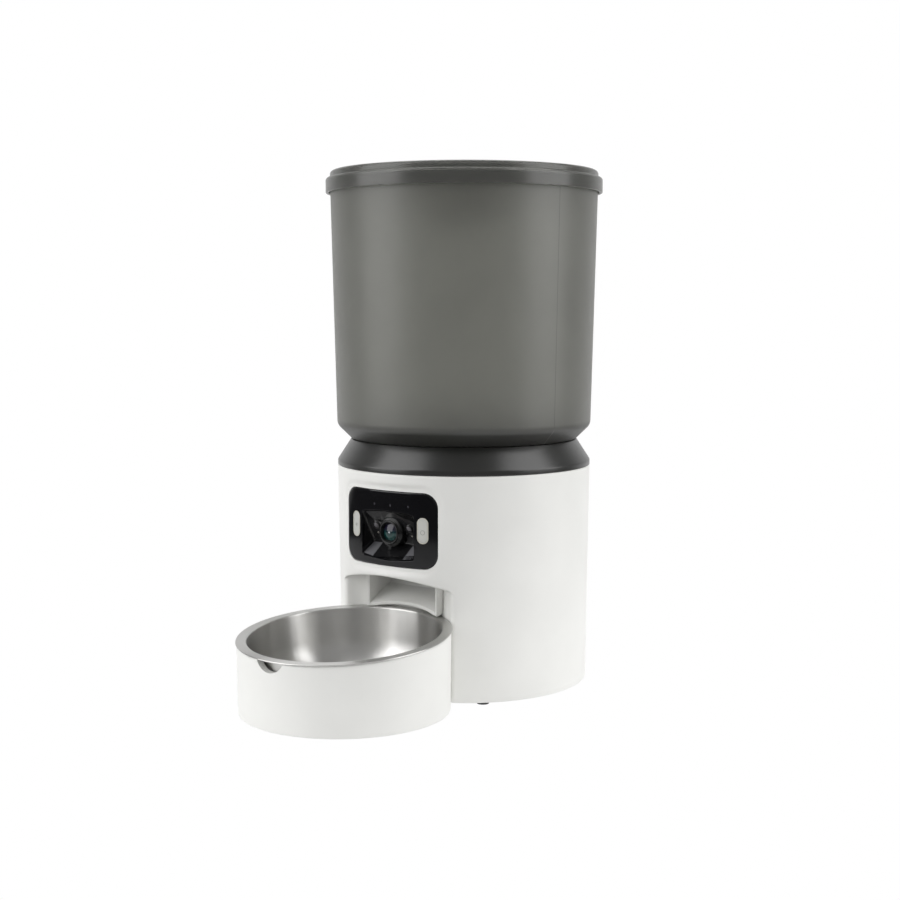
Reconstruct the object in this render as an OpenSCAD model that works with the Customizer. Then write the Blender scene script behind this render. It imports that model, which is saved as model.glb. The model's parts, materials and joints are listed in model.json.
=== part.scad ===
// Automatic pet feeder with a round hopper, a camera panel and a tilted steel bowl.
// The front of the feeder faces -Y, +Z is up and the feet stand on Z = 0.
// Most modules draw in the body frame, whose Z axis is the axis of hopper and base.

/* [Base] */
// Outer diameter of the base where it meets the neck ring
base_top_d = 190; // [188:0.5:192]
// Outer diameter of the base at its lower edge
base_low_d = 185.8; // [184:0.2:188]
// Height of the white shell's upper edge above the floor
base_h = 165.8; // [165:0.1:166.5]
// Clearance of the shell above the floor
foot_h = 4.2; // [3.5:0.1:4.4]
// Wall thickness of the base shell
shell_wall = 2.5; // [2:0.1:3]

/* [Neck] */
// Height of the upright band at the foot of the neck ring
neck_band_h = 3.7; // [3:0.1:4.5]
// Outer diameter of the neck ring at its top
neck_top_d = 169.8; // [168:0.2:171]
// Height of the neck ring's top above the floor
neck_top_z = 185; // [184.6:0.1:185.2]

/* [Hopper] */
// Outer diameter of the hopper just above its chamfer
hopper_low_d = 190.6; // [189:0.2:192]
// Outer diameter of the hopper at its rim
hopper_top_d = 199.2; // [198.6:0.2:199.4]
// Height of the hopper's rim above the floor
hopper_rim_z = 376; // [350:1:376]
// Wall thickness of the hopper
hopper_wall = 2.2; // [1.8:0.1:2.4]

/* [Lid] */
// Outer diameter of the lid's skirt
lid_d = 205.6; // [205:0.2:208]
// Height of the lid above the hopper's rim
lid_rise = 7; // [6.5:0.5:9]
// Depth of the skirt below the hopper's rim
skirt_drop = 9; // [7:0.5:11]

/* [Bowl and stand] */
// Distance of the bowl's axis in front of the body's axis
bowl_reach = 136.4; // [136:0.1:137]
// Outer diameter of the bowl's flange
bowl_rim_d = 150.4; // [150:0.2:150.6]
// Inner diameter of the bowl at its mouth
bowl_mouth_d = 135.2; // [134:0.2:136]
// Depth of the bowl
bowl_depth = 44; // [38:1:45]
// Tilt of the bowl towards the front, in degrees
bowl_tilt = 4.3; // [3.5:0.1:4.5]
// Height of the middle of the bowl's flange
bowl_rim_z = 58.4; // [58:0.1:58.6]
// Outer diameter of the stand
stand_d = 148.8; // [148:0.2:149.2]

/* [Camera panel] */
// Width of the panel, measured straight across
panel_w = 83; // [81:0.5:84]
// Height of the panel
panel_h = 53.8; // [53:0.2:55]
// Corner radius of the panel
panel_corner_r = 10.5; // [7:0.5:11]
// Height of the panel's middle above the floor
panel_z = 126.3; // [126:0.1:127]

/* [Drive] */
// Teeth of the gear on the rotor shaft
gear_teeth = 48; // [48:1:48]
// Teeth of the motor's pinion
pinion_teeth = 16; // [16:1:16]
// Gear module
gear_module = 1.25; // [1.2:0.01:1.25]
// Number of pockets in the portion rotor
rotor_pockets = 6; // [5:1:7]

/* [Hidden] */
$fn = 96;

// Small clearances shared by the parts
eps = 0.01;
gap = 0.3;
slack = 0.05;

// Bottom cover and the bosses of its screws
cover_t = 2.5;
boss_angles = [-25, 20, 62, 118, 160, 205];
boss_ring_r = 86;
boss_r = 5.2;

// Colours
white = [0.88, 0.88, 0.86];
smoke = [0.38, 0.38, 0.36];
dark_smoke = [0.2, 0.2, 0.19];
black = [0.08, 0.08, 0.09];
steel = [0.75, 0.75, 0.76];
rubber = [0.15, 0.15, 0.15];
board_green = [0.1, 0.35, 0.2];
gear_white = [0.92, 0.9, 0.82];
brass = [0.8, 0.65, 0.3];

// The part's origin is the middle of its footprint: the bowl's flange is the front end
// and the lid's skirt is the rear end.
flange_t = 1;
front_reach = bowl_reach + bowl_rim_d / 2 * cos(bowl_tilt) + flange_t / 2 * sin(bowl_tilt);
body_y = (front_reach - lid_d / 2) / 2;

// Niche for the bowl stand
niche_r = stand_d / 2 + 1.4;
niche_crown_z = 91.5;
niche_arch_r = 167;
niche_half_w = 50.05;
niche_corner_r = 5;

// Camera panel and pocket
recess_depth = 1.5;
panel_curve_r = 116;
panel_front_f = 92.1;
pocket_front_f = 96;
pocket_front_half = 25.1;
pocket_low_front_z = 100.2;
pocket_back_f = 77.6;
pocket_back_half = 22.3;
pocket_low_back_z = 113.6;
pocket_top_f = 89.6;
pocket_top_z = 138.6;
pocket_tilt = atan2(pocket_top_f - pocket_back_f, pocket_top_z - pocket_low_back_z);
pocket_wall = 1.6;
window_x = 30.8;
window_w = 8.4;
window_h = 18.6;
light_pitch = 15;
light_offset = 4.6;
light_z = 143.2;
lens_z = 122.8;
barrel_r = 10.5;
lens_r = 8;
board_f = 67;

// Dispenser chamber and what turns in it
chamber_r = 58;
chamber_wall = 2.5;
chamber_floor_z = 128;
chamber_step_z = 162.5;
chamber_flange_z = 166;
chamber_top_z = 168.3;
flange_r = 74;
exit_r0 = 24;
exit_r1 = 56;
exit_half_angle = 33;
shaft_r = 4;
bush_r = 8;
hub_r = 14;
rotor_z0 = 131.5;
rotor_z1 = 161.5;
plate_z0 = 162.6;
plate_z1 = 164.6;

// Chute, as pairs of forward distance and height
chute_t = 2.4;
chute_lip = [80, 62.8];
chute_bend = [48, 77.1];
chute_back = [24, 118.6];
chute_front_f = 60;
chute_open_z = 89.5;

// Drive train
gear_d = gear_teeth * gear_module;
pinion_d = pinion_teeth * gear_module;
gear_gap = (gear_d + pinion_d) / 2;
gear_z = 94.5;
gear_t = 6;
gearbox_r = 18.5;
gearbox_z0 = 66;
gearbox_z1 = 88;
motor_r = 15;
motor_z0 = 32;
bracket_t = 3;
post_xy = [[38, 26], [-38, 26], [24, 51.5], [-24, 51.5]];
pressure_angle = 20;

// Battery box
battery_x = 54;
battery_y0 = -47;
battery_y1 = 19;
battery_top_z = 44;
battery_wall = 2;
cell_r = 16.4;
cell_len = 57;
cell_pitch = 34;
door_x = 50;
door_y0 = -44;
door_y1 = 16;
door_hinge_r = 1.1;

// Rear controls and inlet
button_z = 140;
button_r = 7;
button_travel = 1.5;
jack_z = 20;
jack_r = 3.2;
jack_depth = 10;
jack_pin_r = 0.6;
jack_face = base_r(jack_z) - 0.6;
speaker_z = 95;
speaker_r = 17;

// Hopper and lid details
outlet_r = 56.3;
hopper_foot_z = neck_top_z + 0.6;
chamfer_top_z = hopper_foot_z + 11.4;
basket_r = 30;
basket_h = 30;
lid_top_z = hopper_rim_z + lid_rise;
lid_t = 2.4;

// ---------------------------------------------------------------- helpers

function arc_points(cx, cy, r, a0, a1, n) =
    [for (i = [0:n]) let (a = a0 + (a1 - a0) * i / n) [cx + r * cos(a), cy + r * sin(a)]];

function round_rect_points(w, h, r, n = 8) = concat(
    arc_points(w / 2 - r, h / 2 - r, r, 0, 90, n),
    arc_points(r - w / 2, h / 2 - r, r, 90, 180, n),
    arc_points(r - w / 2, r - h / 2, r, 180, 270, n),
    arc_points(w / 2 - r, r - h / 2, r, 270, 360, n)
);

function sector_points(r0, r1, a0, a1, n = 16) = concat(
    arc_points(0, 0, r1, a0, a1, n),
    arc_points(0, 0, r0, a1, a0, n)
);

// Radius of the base's outer cone at a height
function base_r(z) =
    base_low_d / 2 + (base_top_d - base_low_d) / 2 * (z - foot_h) / (base_h - foot_h);

module at_body() {
    translate([0, body_y, 0]) children();
}

module at_bowl() {
    translate([0, body_y - bowl_reach, 0]) children();
}

// The bowl's own tilted axis, with its origin on the flange's top
module at_tilted_bowl() {
    at_bowl() translate([0, 0, bowl_rim_z]) rotate([bowl_tilt, 0, 0]) children();
}

// A slice of the base's cone, grown by g
module base_cone(g, z0, z1) {
    translate([0, 0, z0]) cylinder(h = z1 - z0, r1 = base_r(z0) + g, r2 = base_r(z1) + g);
}

// Extrudes an outline of width and height from forward distance f0 to f1
module front_prism(points, f0, f1) {
    translate([0, -f0, 0]) rotate([90, 0, 0]) linear_extrude(f1 - f0) polygon(points);
}

// Extrudes an outline of forward distance and height across the width
module side_prism(points, half_w) {
    translate([-half_w, 0, 0]) rotate([90, 0, 90]) linear_extrude(2 * half_w)
        polygon([for (p = points) [-p[0], p[1]]]);
}

// Extrudes an outline of width and forward distance upwards
module plan_prism(points, z0, z1) {
    translate([0, 0, z0]) linear_extrude(z1 - z0) polygon([for (p = points) [p[0], -p[1]]]);
}

module ring(r0, r1, z0, z1) {
    translate([0, 0, z0]) difference() {
        cylinder(h = z1 - z0, r = r1);
        translate([0, 0, -1]) cylinder(h = z1 - z0 + 2, r = r0);
    }
}

// A pan-head screw that points up from its head's underside at the origin
module screw(head_r, head_h, shank_r, length) {
    union() {
        difference() {
            cylinder(h = head_h, r = head_r);
            for (a = [0, 90]) rotate([0, 0, a]) {
                translate([-head_r * 0.6, -0.35, -1]) cube([head_r * 1.2, 0.7, 1 + head_h * 0.5]);
            }
        }
        translate([0, 0, head_h - eps]) cylinder(h = length, r = shank_r);
    }
}

// ---------------------------------------------------------------- base shell

// Front view of the niche: upright sides, rounded corners and an arched top
function niche_outline(g) = let (
    half = niche_half_w + g,
    arch = niche_arch_r + g,
    arch_z = niche_crown_z - niche_arch_r,
    corner = niche_corner_r + g,
    corner_x = half - corner,
    corner_z = arch_z + sqrt(pow(arch - corner, 2) - corner_x * corner_x),
    meet = atan2(corner_z - arch_z, corner_x)
) concat(
    [[-half, -10], [half, -10]],
    arc_points(corner_x, corner_z, corner, 0, meet, 6),
    arc_points(0, arch_z, arch, meet + 1, 179 - meet, 30),
    arc_points(-corner_x, corner_z, corner, 180 - meet, 180, 6)
);

module niche_block(g) {
    intersection() {
        translate([0, -bowl_reach, -5]) cylinder(h = 110, r = niche_r + g);
        front_prism(niche_outline(g), 30, 100);
    }
}

module panel_prism(g, f0 = 60, f1 = 110) {
    translate([0, 0, panel_z])
        front_prism(round_rect_points(panel_w + 2 * g, panel_h + 2 * g, panel_corner_r + g), f0, f1);
}

// The flatter curve that the panel follows, grown by g
module panel_curve(g) {
    translate([0, panel_curve_r - panel_front_f, 60]) cylinder(h = 130, r = panel_curve_r + g);
}

// Thicker wall behind the panel's edge
module panel_pad() {
    intersection() {
        base_cone(-1, foot_h, base_h);
        difference() {
            panel_prism(7);
            panel_curve(-recess_depth - 2);
        }
    }
}

module case_bosses() {
    for (a = boss_angles) rotate([0, 0, a]) translate([boss_ring_r, 0, foot_h + cover_t]) {
        difference() {
            cylinder(h = 24, r = boss_r);
            translate([0, 0, -1]) cylinder(h = 18, r = 1.3);
        }
    }
}

module speaker_slots() {
    for (i = [-3:3]) {
        translate([i * 4, 60, speaker_z - 8]) cube([1.6, 50, 16]);
    }
}

module main_shell() {
    color(white) at_body() difference() {
        union() {
            difference() {
                base_cone(0, foot_h, base_h);
                difference() {
                    base_cone(-shell_wall, foot_h - 1, base_h + 1);
                    niche_block(shell_wall);
                }
            }
            intersection() {
                case_bosses();
                base_cone(-1, foot_h, base_h);
            }
            panel_pad();
        }
        niche_block(0);
        chute_solid(gap);
        // Flatter border round the panel, the panel's own recess and the opening behind it
        difference() {
            panel_prism(5);
            panel_curve(0);
        }
        difference() {
            panel_prism(gap);
            panel_curve(-recess_depth);
        }
        translate([0, 0, panel_z])
            front_prism(round_rect_points(panel_w - 8, panel_h - 5, 6), 60, 110);
        // Rear openings
        translate([0, 80, button_z]) rotate([-90, 0, 0]) cylinder(h = 20, r = button_r + gap);
        translate([0, 80, jack_z]) rotate([-90, 0, 0]) cylinder(h = 20, r = 5.2);
        speaker_slots();
    }
}

module neck_ring() {
    band_z = base_h + neck_band_h;
    top_r = neck_top_d / 2;
    spigot_h = 5;
    spigot_r = base_r(base_h - spigot_h) - shell_wall - slack;
    color(dark_smoke) at_body() difference() {
        union() {
            rotate_extrude() polygon([
                [spigot_r, base_h - spigot_h], [spigot_r, base_h], [base_top_d / 2, base_h],
                [base_top_d / 2, band_z], [top_r, neck_top_z], [79.5, neck_top_z],
                [79.5, neck_top_z - 2.4], [top_r - 2.6, neck_top_z - 2.4],
                [base_top_d / 2 - 3.6, 171], [63, 171], [63, chamber_top_z + 0.2],
                [spigot_r - 2, chamber_top_z + 0.2], [spigot_r - 2, base_h - spigot_h]
            ]);
            for (a = [45:90:315]) rotate([0, 0, a])
                translate([68, 0, 170.9]) cylinder(h = 5, r = 3.6);
        }
        for (a = [45:90:315]) rotate([0, 0, a])
            translate([68, 0, 160]) cylinder(h = 14, r = 1.3);
    }
}

module bottom_cover() {
    z0 = foot_h;
    color(white) at_body() difference() {
        translate([0, 0, z0]) cylinder(h = cover_t, r = base_low_d / 2 - shell_wall - 0.2);
        translate([0, -bowl_reach, z0 - 1]) cylinder(h = cover_t + 2, r = niche_r + shell_wall + 0.2);
        translate([-door_x - gap, door_y0 - gap, z0 - 1])
            cube([2 * (door_x + gap), door_y1 + door_hinge_r - door_y0 + 2 * gap, cover_t + 2]);
        for (a = boss_angles) rotate([0, 0, a]) translate([boss_ring_r, 0, z0 - 1]) {
            cylinder(h = cover_t + 2, r = 1.6);
            cylinder(h = 2.4, r = 3.2);
        }
        for (i = [0:4]) translate([-12 + i * 6 - 1, 68, z0 - 1]) cube([2, 16, cover_t + 2]);
    }
}

module case_screws() {
    color(steel) at_body() for (a = boss_angles) rotate([0, 0, a])
        translate([boss_ring_r, 0, foot_h + 0.1]) screw(3, 1.2, 1.3, 12);
}

module base_feet() {
    color(rubber) at_body() for (a = [-42.4, 42.4, 137.6, 222.4]) rotate([0, 0, a])
        translate([78, 0, 0]) cylinder(h = foot_h, r1 = 4.4, r2 = 5);
}

// ---------------------------------------------------------------- chute

function chute_outline(t) = [
    [chute_lip[0], chute_lip[1] - t],
    [chute_bend[0] - t * 0.45, chute_bend[1] - t * 0.8],
    [chute_back[0] - t, chute_back[1]],
    [chute_back[0] - t, chamber_floor_z + (t == 0 ? 1 : 0)],
    [chute_front_f + t, chamber_floor_z + (t == 0 ? 1 : 0)],
    [chute_front_f + t, chute_open_z],
    [chute_front_f + t, t == 0 ? 110 : 87],
    [chute_lip[0], t == 0 ? 110 : 87]
];

// Plan view: the spout narrows a little towards the bowl
function chute_plan(t) = [
    [-33 - t, 15], [-33 - t, 60], [-29.8 - t, 80], [29.8 + t, 80], [33 + t, 60], [33 + t, 15]
];

module chute_solid(g) {
    intersection() {
        side_prism(chute_outline(chute_t + g), 45);
        plan_prism(chute_plan(2.2 + g), 50, chamber_floor_z);
    }
}

module chute_channel() {
    difference() {
        intersection() {
            side_prism(chute_outline(0), 45);
            plan_prism(chute_plan(0), 50, chamber_floor_z + 1);
        }
        // The front wall stays solid above the spout
        translate([-50, -85, chute_open_z]) cube([100, 85 - chute_front_f, 40]);
    }
}

module chute() {
    color(white) difference() {
        at_body() difference() {
            union() {
                chute_solid(0);
                translate([-38, -64, chamber_floor_z - 2.2]) cube([76, 47, 2.2]);
            }
            chute_channel();
            translate([0, -bowl_reach, 50]) cylinder(h = 60, r = 69.8);
            for (x = [-35.6, 35.6], f = [22, 58]) translate([x, -f, chamber_floor_z - 4])
                cylinder(h = 5, r = 0.8);
        }
        // The spout's corners stay clear of the bowl's flange
        at_tilted_bowl() translate([0, 0, -5]) cylinder(h = 5.6, r = bowl_rim_d / 2 + 0.6);
    }
}

// ---------------------------------------------------------------- camera panel

// Wedge-shaped recess: its back wall leans forward and meets the panel at the top
module pocket_solid(g) {
    intersection() {
        plan_prism([
            [-pocket_back_half - g, pocket_back_f - 1.5 * g], [-pocket_front_half - g, pocket_front_f],
            [pocket_front_half + g, pocket_front_f], [pocket_back_half + g, pocket_back_f - 1.5 * g]
        ], 90, 150);
        side_prism([
            [pocket_back_f - 1.5 * g, pocket_low_back_z - g], [pocket_front_f, pocket_low_front_z - g],
            [pocket_front_f, pocket_top_z + 1 + g], [pocket_top_f - g, pocket_top_z + g]
        ], 40);
    }
}

// A place on the pocket's back wall, with Z pointing out of the wall
module on_pocket_back(x, z) {
    f = pocket_back_f + (z - pocket_low_back_z) * tan(pocket_tilt);
    translate([x, -f, z]) rotate([90 + pocket_tilt, 0, 0]) children();
}

module window_prism(g) {
    for (s = [-1, 1]) translate([s * window_x, 0, panel_z + 0.3])
        front_prism(round_rect_points(window_w + 2 * g, window_h + 2 * g, window_w / 2 + g - eps, 10),
            70, 110);
}

module front_panel() {
    color(black) at_body() difference() {
        intersection() {
            panel_prism(0);
            difference() {
                panel_curve(0);
                panel_curve(-recess_depth + slack);
            }
        }
        pocket_solid(0);
        window_prism(0);
        for (i = [-1:1]) translate([light_offset + i * light_pitch, -80, light_z])
            rotate([90, 0, 0]) cylinder(h = 20, r = 0.7);
    }
}

module side_windows() {
    color([0.75, 0.75, 0.73]) at_body() intersection() {
        window_prism(-slack);
        difference() {
            panel_curve(0.2);
            panel_curve(-3);
        }
    }
}

module indicator_lights() {
    color([0.3, 0.3, 0.35]) at_body() intersection() {
        for (i = [-1:1]) translate([light_offset + i * light_pitch, -88, light_z])
            rotate([90, 0, 0]) cylinder(h = 8, r = 0.65);
        panel_curve(0.1);
    }
}

module camera_pocket() {
    color(black) at_body() difference() {
        intersection() {
            pocket_solid(pocket_wall);
            panel_curve(-recess_depth);
        }
        pocket_solid(0);
        translate([0, -60, lens_z]) rotate([90, 0, 0]) cylinder(h = 30, r = barrel_r + slack);
    }
}

module infrared_leds() {
    color([0.35, 0.32, 0.36]) at_body() {
        for (s = [-1, 1]) on_pocket_back(s * 15.2, 126.4) intersection() {
            translate([0, 0, -2.4]) sphere(r = 4);
            cylinder(h = 3, r = 3);
        }
        for (s = [-1, 1]) on_pocket_back(s * 15.8, 120.6) cylinder(h = 0.8, r = 1);
    }
}

module camera_barrel() {
    color(black) at_body() translate([0, 0, lens_z]) rotate([90, 0, 0]) difference() {
        union() {
            translate([0, 0, board_f + 1.6]) cylinder(h = 16.9, r = barrel_r);
            translate([0, 0, board_f + 1.6]) cylinder(h = 3, r = barrel_r + 2);
        }
        translate([0, 0, board_f + 4]) cylinder(h = 30, r = lens_r + 0.2);
    }
}

module lens_ring() {
    color(black) at_body() translate([0, 0, lens_z]) rotate([90, 0, 0])
        rotate_extrude() polygon([
            [lens_r - 1.4, 86.6], [lens_r + 0.1, 84], [lens_r + 0.1, 85.5], [barrel_r, 85.5],
            [barrel_r - 0.2, 86.5], [lens_r + 0.4, 88.8], [lens_r - 0.6, 88.8]
        ]);
}

module camera_lens() {
    cap_r = 14;
    rim_r = lens_r - 1.5;
    rim_f = 86.4;
    color([0.1, 0.25, 0.28]) at_body() translate([0, 0, lens_z]) rotate([90, 0, 0]) intersection() {
        translate([0, 0, rim_f - sqrt(cap_r * cap_r - rim_r * rim_r)]) sphere(r = cap_r);
        translate([0, 0, rim_f - 3]) cylinder(h = 10, r = rim_r);
    }
}

module camera_board() {
    color(board_green) at_body() difference() {
        union() {
            translate([0, 0, lens_z])
                front_prism(round_rect_points(40, 30, 2), board_f, board_f + 1.6);
            translate([-7, -board_f - eps, lens_z - 7]) cube([14, 2.5, 14]);
        }
        for (x = [-17, 17], z = [-12, 12]) translate([x, 0, lens_z + z])
            rotate([90, 0, 0]) cylinder(h = 80, r = 1.2);
    }
}

// ---------------------------------------------------------------- dispenser

module dispenser_chamber() {
    outer_r = chamber_r + chamber_wall;
    color([0.8, 0.8, 0.78]) at_body() difference() {
        union() {
            translate([0, 0, chamber_floor_z]) cylinder(h = chamber_step_z - chamber_floor_z, r = outer_r);
            translate([0, 0, chamber_step_z - 4])
                cylinder(h = chamber_top_z - chamber_step_z + 4, r = outer_r + 2);
            translate([0, 0, chamber_flange_z]) cylinder(h = chamber_top_z - chamber_flange_z, r = flange_r);
            for (p = post_xy) translate([p[0], p[1], gearbox_z1 + bracket_t])
                cylinder(h = chamber_floor_z - gearbox_z1 - bracket_t + 1, r = 4);
        }
        translate([0, 0, chamber_floor_z + 2.5]) cylinder(h = 60, r = chamber_r);
        translate([0, 0, chamber_step_z]) cylinder(h = 60, r = chamber_r + 2);
        translate([0, 0, chamber_floor_z - 1]) cylinder(h = 5, r = bush_r);
        translate([0, 0, chamber_floor_z - 1]) linear_extrude(5)
            polygon(sector_points(exit_r0, exit_r1, -90 - exit_half_angle, -90 + exit_half_angle));
        for (a = [45:90:315]) rotate([0, 0, a])
            translate([68, 0, chamber_flange_z - 1]) cylinder(h = 5, r = 1.7);
        for (p = post_xy) translate([p[0], p[1], gearbox_z1]) cylinder(h = 16, r = 1.3);
    }
}

module portion_plate() {
    color([0.75, 0.75, 0.73]) at_body() translate([0, 0, plate_z0]) difference() {
        cylinder(h = plate_z1 - plate_z0, r = chamber_r + 1.8);
        translate([0, 0, -1]) cylinder(h = 5, r = 12);
        translate([0, 0, -1]) linear_extrude(5) polygon(sector_points(18, 54, 25, 155, 24));
    }
}

module shaft_bush() {
    color(brass) at_body() difference() {
        union() {
            translate([0, 0, chamber_floor_z - 4]) cylinder(h = 6.5, r = bush_r - slack);
            translate([0, 0, chamber_floor_z - 4]) cylinder(h = 4 - slack, r = bush_r + 3);
        }
        translate([0, 0, chamber_floor_z - 5]) cylinder(h = 10, r = shaft_r + slack);
    }
}

module chamber_screws() {
    color(steel) at_body() for (a = [45:90:315]) rotate([0, 0, a])
        translate([68, 0, chamber_flange_z - 1.7]) screw(3, 1.6, 1.3, 8);
}

module rotor() {
    color([0.25, 0.45, 0.6]) at_body() difference() {
        union() {
            translate([0, 0, rotor_z0]) cylinder(h = rotor_z1 - rotor_z0, r = hub_r);
            translate([0, 0, rotor_z1 - eps]) cylinder(h = 6.5, r = 9);
            for (i = [0:rotor_pockets - 1]) rotate([0, 0, i * 360 / rotor_pockets])
                translate([hub_r - 2, -1.8, rotor_z0]) cube([54 - hub_r + 2, 3.6, rotor_z1 - rotor_z0]);
        }
        translate([0, 0, rotor_z0 - 1]) cylinder(h = 27, r = shaft_r);
        translate([0, 0, rotor_z1 - 2]) cylinder(h = 12, r = 1.3);
        for (i = [0:rotor_pockets - 1]) rotate([0, 0, i * 360 / rotor_pockets])
            translate([46, -0.8, rotor_z0 - 1]) cube([20, 1.6, 40]);
    }
}

module rotor_wipers() {
    color(rubber) at_body() for (i = [0:rotor_pockets - 1]) rotate([0, 0, i * 360 / rotor_pockets])
        translate([46 + slack, -0.8 + slack, rotor_z0])
            cube([57.4 - 46, 1.6 - 2 * slack, rotor_z1 - rotor_z0]);
}

module agitator() {
    hub_z = rotor_z1 + 6.5;
    color([0.25, 0.45, 0.6]) at_body() translate([0, 0, hub_z]) difference() {
        union() {
            cylinder(h = 9, r = 12);
            translate([0, 0, 9 - eps]) cylinder(h = 5, r1 = 12, r2 = 5);
            for (a = [90:120:330]) rotate([0, 0, a]) {
                translate([8, 0, 4.5]) rotate([0, 90, 0]) cylinder(h = 36, r = 2.6);
                translate([44, 0, 1.5]) cylinder(h = 20, r = 3);
            }
        }
        translate([0, 0, -1]) cylinder(h = 20, r = 1.7);
        translate([0, 0, 9]) cylinder(h = 8, r = 3.4);
    }
}

module drive_shaft() {
    color(steel) at_body() translate([0, 0, gear_z - 3])
        cylinder(h = rotor_z0 + 26 - gear_z + 3, r = shaft_r);
}

// ---------------------------------------------------------------- gears

function involute(a) = tan(a) - a * PI / 180;

// Half the angle of a tooth at radius r, in degrees
function half_tooth(r, pitch_r, base_circle_r, thickness) = let (
    a = r <= base_circle_r ? 0 : acos(base_circle_r / r)
) 180 / PI * (thickness / (2 * pitch_r) + involute(pressure_angle) - involute(a));

function gear_points(teeth, m, backlash) = let (
    pitch_r = teeth * m / 2,
    base_circle_r = pitch_r * cos(pressure_angle),
    thickness = PI * m / 2 - backlash / 2,
    radii = [for (k = [0:3]) pitch_r - 1.25 * m + k * 2.2 * m / 3]
) [
    for (i = [0:teeth - 1], k = [0:7]) let (
        r = k < 4 ? radii[k] : radii[7 - k],
        h = half_tooth(r, pitch_r, base_circle_r, thickness),
        a = 360 * i / teeth + (k < 4 ? -h : h)
    ) [r * cos(a), r * sin(a)]
];

module drive_gear() {
    color(gear_white) at_body() translate([0, 0, gear_z]) difference() {
        union() {
            linear_extrude(gear_t) polygon(gear_points(gear_teeth, gear_module, 0.3));
            translate([0, 0, gear_t - eps]) cylinder(h = 8, r = 8);
        }
        translate([0, 0, -1]) cylinder(h = 30, r = shaft_r);
        for (a = [0:60:300]) rotate([0, 0, a]) translate([18, 0, -1]) cylinder(h = 20, r = 5.5);
    }
}

module at_motor() {
    at_body() translate([0, gear_gap, 0]) children();
}

module motor_pinion() {
    color(brass) at_motor() translate([0, 0, gear_z - 1]) difference() {
        rotate([0, 0, 180 / pinion_teeth]) linear_extrude(gear_t + 2)
            polygon(gear_points(pinion_teeth, gear_module, 0.3));
        translate([0, 0, -1]) cylinder(h = 30, r = 3);
    }
}

module gearbox_shaft() {
    color(steel) at_motor() translate([0, 0, gearbox_z1 - 6]) cylinder(h = 21, r = 3);
}

module gearbox_housing() {
    color(steel) at_motor() difference() {
        union() {
            translate([0, 0, gearbox_z0]) cylinder(h = gearbox_z1 - gearbox_z0, r = gearbox_r);
            translate([0, 0, gearbox_z1 - eps]) cylinder(h = 4.5, r = 6);
        }
        translate([0, 0, gearbox_z1 - 7]) cylinder(h = 20, r = 3 + slack);
        for (a = [45:90:315]) rotate([0, 0, a])
            translate([15, 0, gearbox_z1 - 6]) cylinder(h = 10, r = 1.3);
    }
}

module motor_can() {
    color([0.7, 0.7, 0.72]) at_motor() {
        translate([0, 0, motor_z0 + 2]) cylinder(h = gearbox_z0 - motor_z0 - 2, r = motor_r);
        translate([0, 0, motor_z0]) cylinder(h = 2 + eps, r = 5);
    }
}

module motor_terminals() {
    color(brass) at_motor() for (s = [-1, 1])
        translate([s * 10 - 1.5, -0.3, motor_z0 - 2.5]) cube([3, 0.6, 4.5]);
}

module motor_bracket() {
    color(steel) at_body() translate([0, 0, gearbox_z1]) difference() {
        union() {
            translate([0, gear_gap, 0]) cylinder(h = bracket_t, r = 22);
            for (p = post_xy) translate([p[0], p[1], 0]) cylinder(h = bracket_t, r = 6);
            translate([-38, 20, 0]) cube([76, 12, bracket_t]);
            translate([-24, 45.5, 0]) cube([48, 12, bracket_t]);
        }
        translate([0, gear_gap, -1]) cylinder(h = 10, r = 6.2);
        for (p = post_xy) translate([p[0], p[1], -1]) cylinder(h = 10, r = 1.7);
        for (a = [45:90:315]) translate([0, gear_gap, -1]) rotate([0, 0, a]) translate([15, 0, 0])
            cylinder(h = 10, r = 1.7);
    }
}

module bracket_screws() {
    color(steel) at_body() for (p = post_xy)
        translate([p[0], p[1], gearbox_z1 - 1.7]) screw(3, 1.6, 1.3, 12);
}

module gearbox_screws() {
    color(steel) at_motor() for (a = [45:90:315]) rotate([0, 0, a])
        translate([15, 0, gearbox_z1 + bracket_t + 1.7]) rotate([180, 0, 0]) screw(2.8, 1.6, 1.3, 7);
}

// ---------------------------------------------------------------- batteries and electronics

module battery_box() {
    z0 = foot_h + cover_t;
    color([0.82, 0.82, 0.8]) at_body() difference() {
        translate([-battery_x, battery_y0, z0])
            cube([2 * battery_x, battery_y1 - battery_y0, battery_top_z - z0]);
        translate([-battery_x + battery_wall, battery_y0 + battery_wall, z0 - 1])
            cube([2 * (battery_x - battery_wall), battery_y1 - battery_y0 - 2 * battery_wall,
                battery_top_z - z0 - battery_wall + 1]);
    }
}

module battery_cells() {
    color([0.7, 0.55, 0.25]) at_body() for (i = [-1:1])
        translate([i * cell_pitch, battery_y0 + 5, foot_h + cover_t + 1.2 + cell_r]) rotate([-90, 0, 0]) {
            cylinder(h = cell_len - 2, r = cell_r);
            translate([0, 0, cell_len - 2 - eps]) cylinder(h = 2, r = 4.5);
        }
}

module battery_contacts() {
    z = foot_h + cover_t + 1.2 + cell_r;
    color(steel) at_body() for (i = [-1:1]) translate([i * cell_pitch, 0, z]) {
        translate([-7, battery_y0 + battery_wall + eps, -7]) cube([14, 0.6, 14]);
        translate([0, battery_y0 + battery_wall + 0.5, 0]) rotate([-90, 0, 0])
            cylinder(h = 2.3, r1 = 6, r2 = 3.5);
        translate([-7, battery_y1 - battery_wall - 0.6 - eps, -7]) cube([14, 0.6, 14]);
        translate([0, battery_y0 + 5 + cell_len + eps, 0]) rotate([-90, 0, 0])
            cylinder(h = battery_y1 - battery_wall - battery_y0 - 5 - cell_len - 0.6, r = 3);
    }
}

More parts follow.
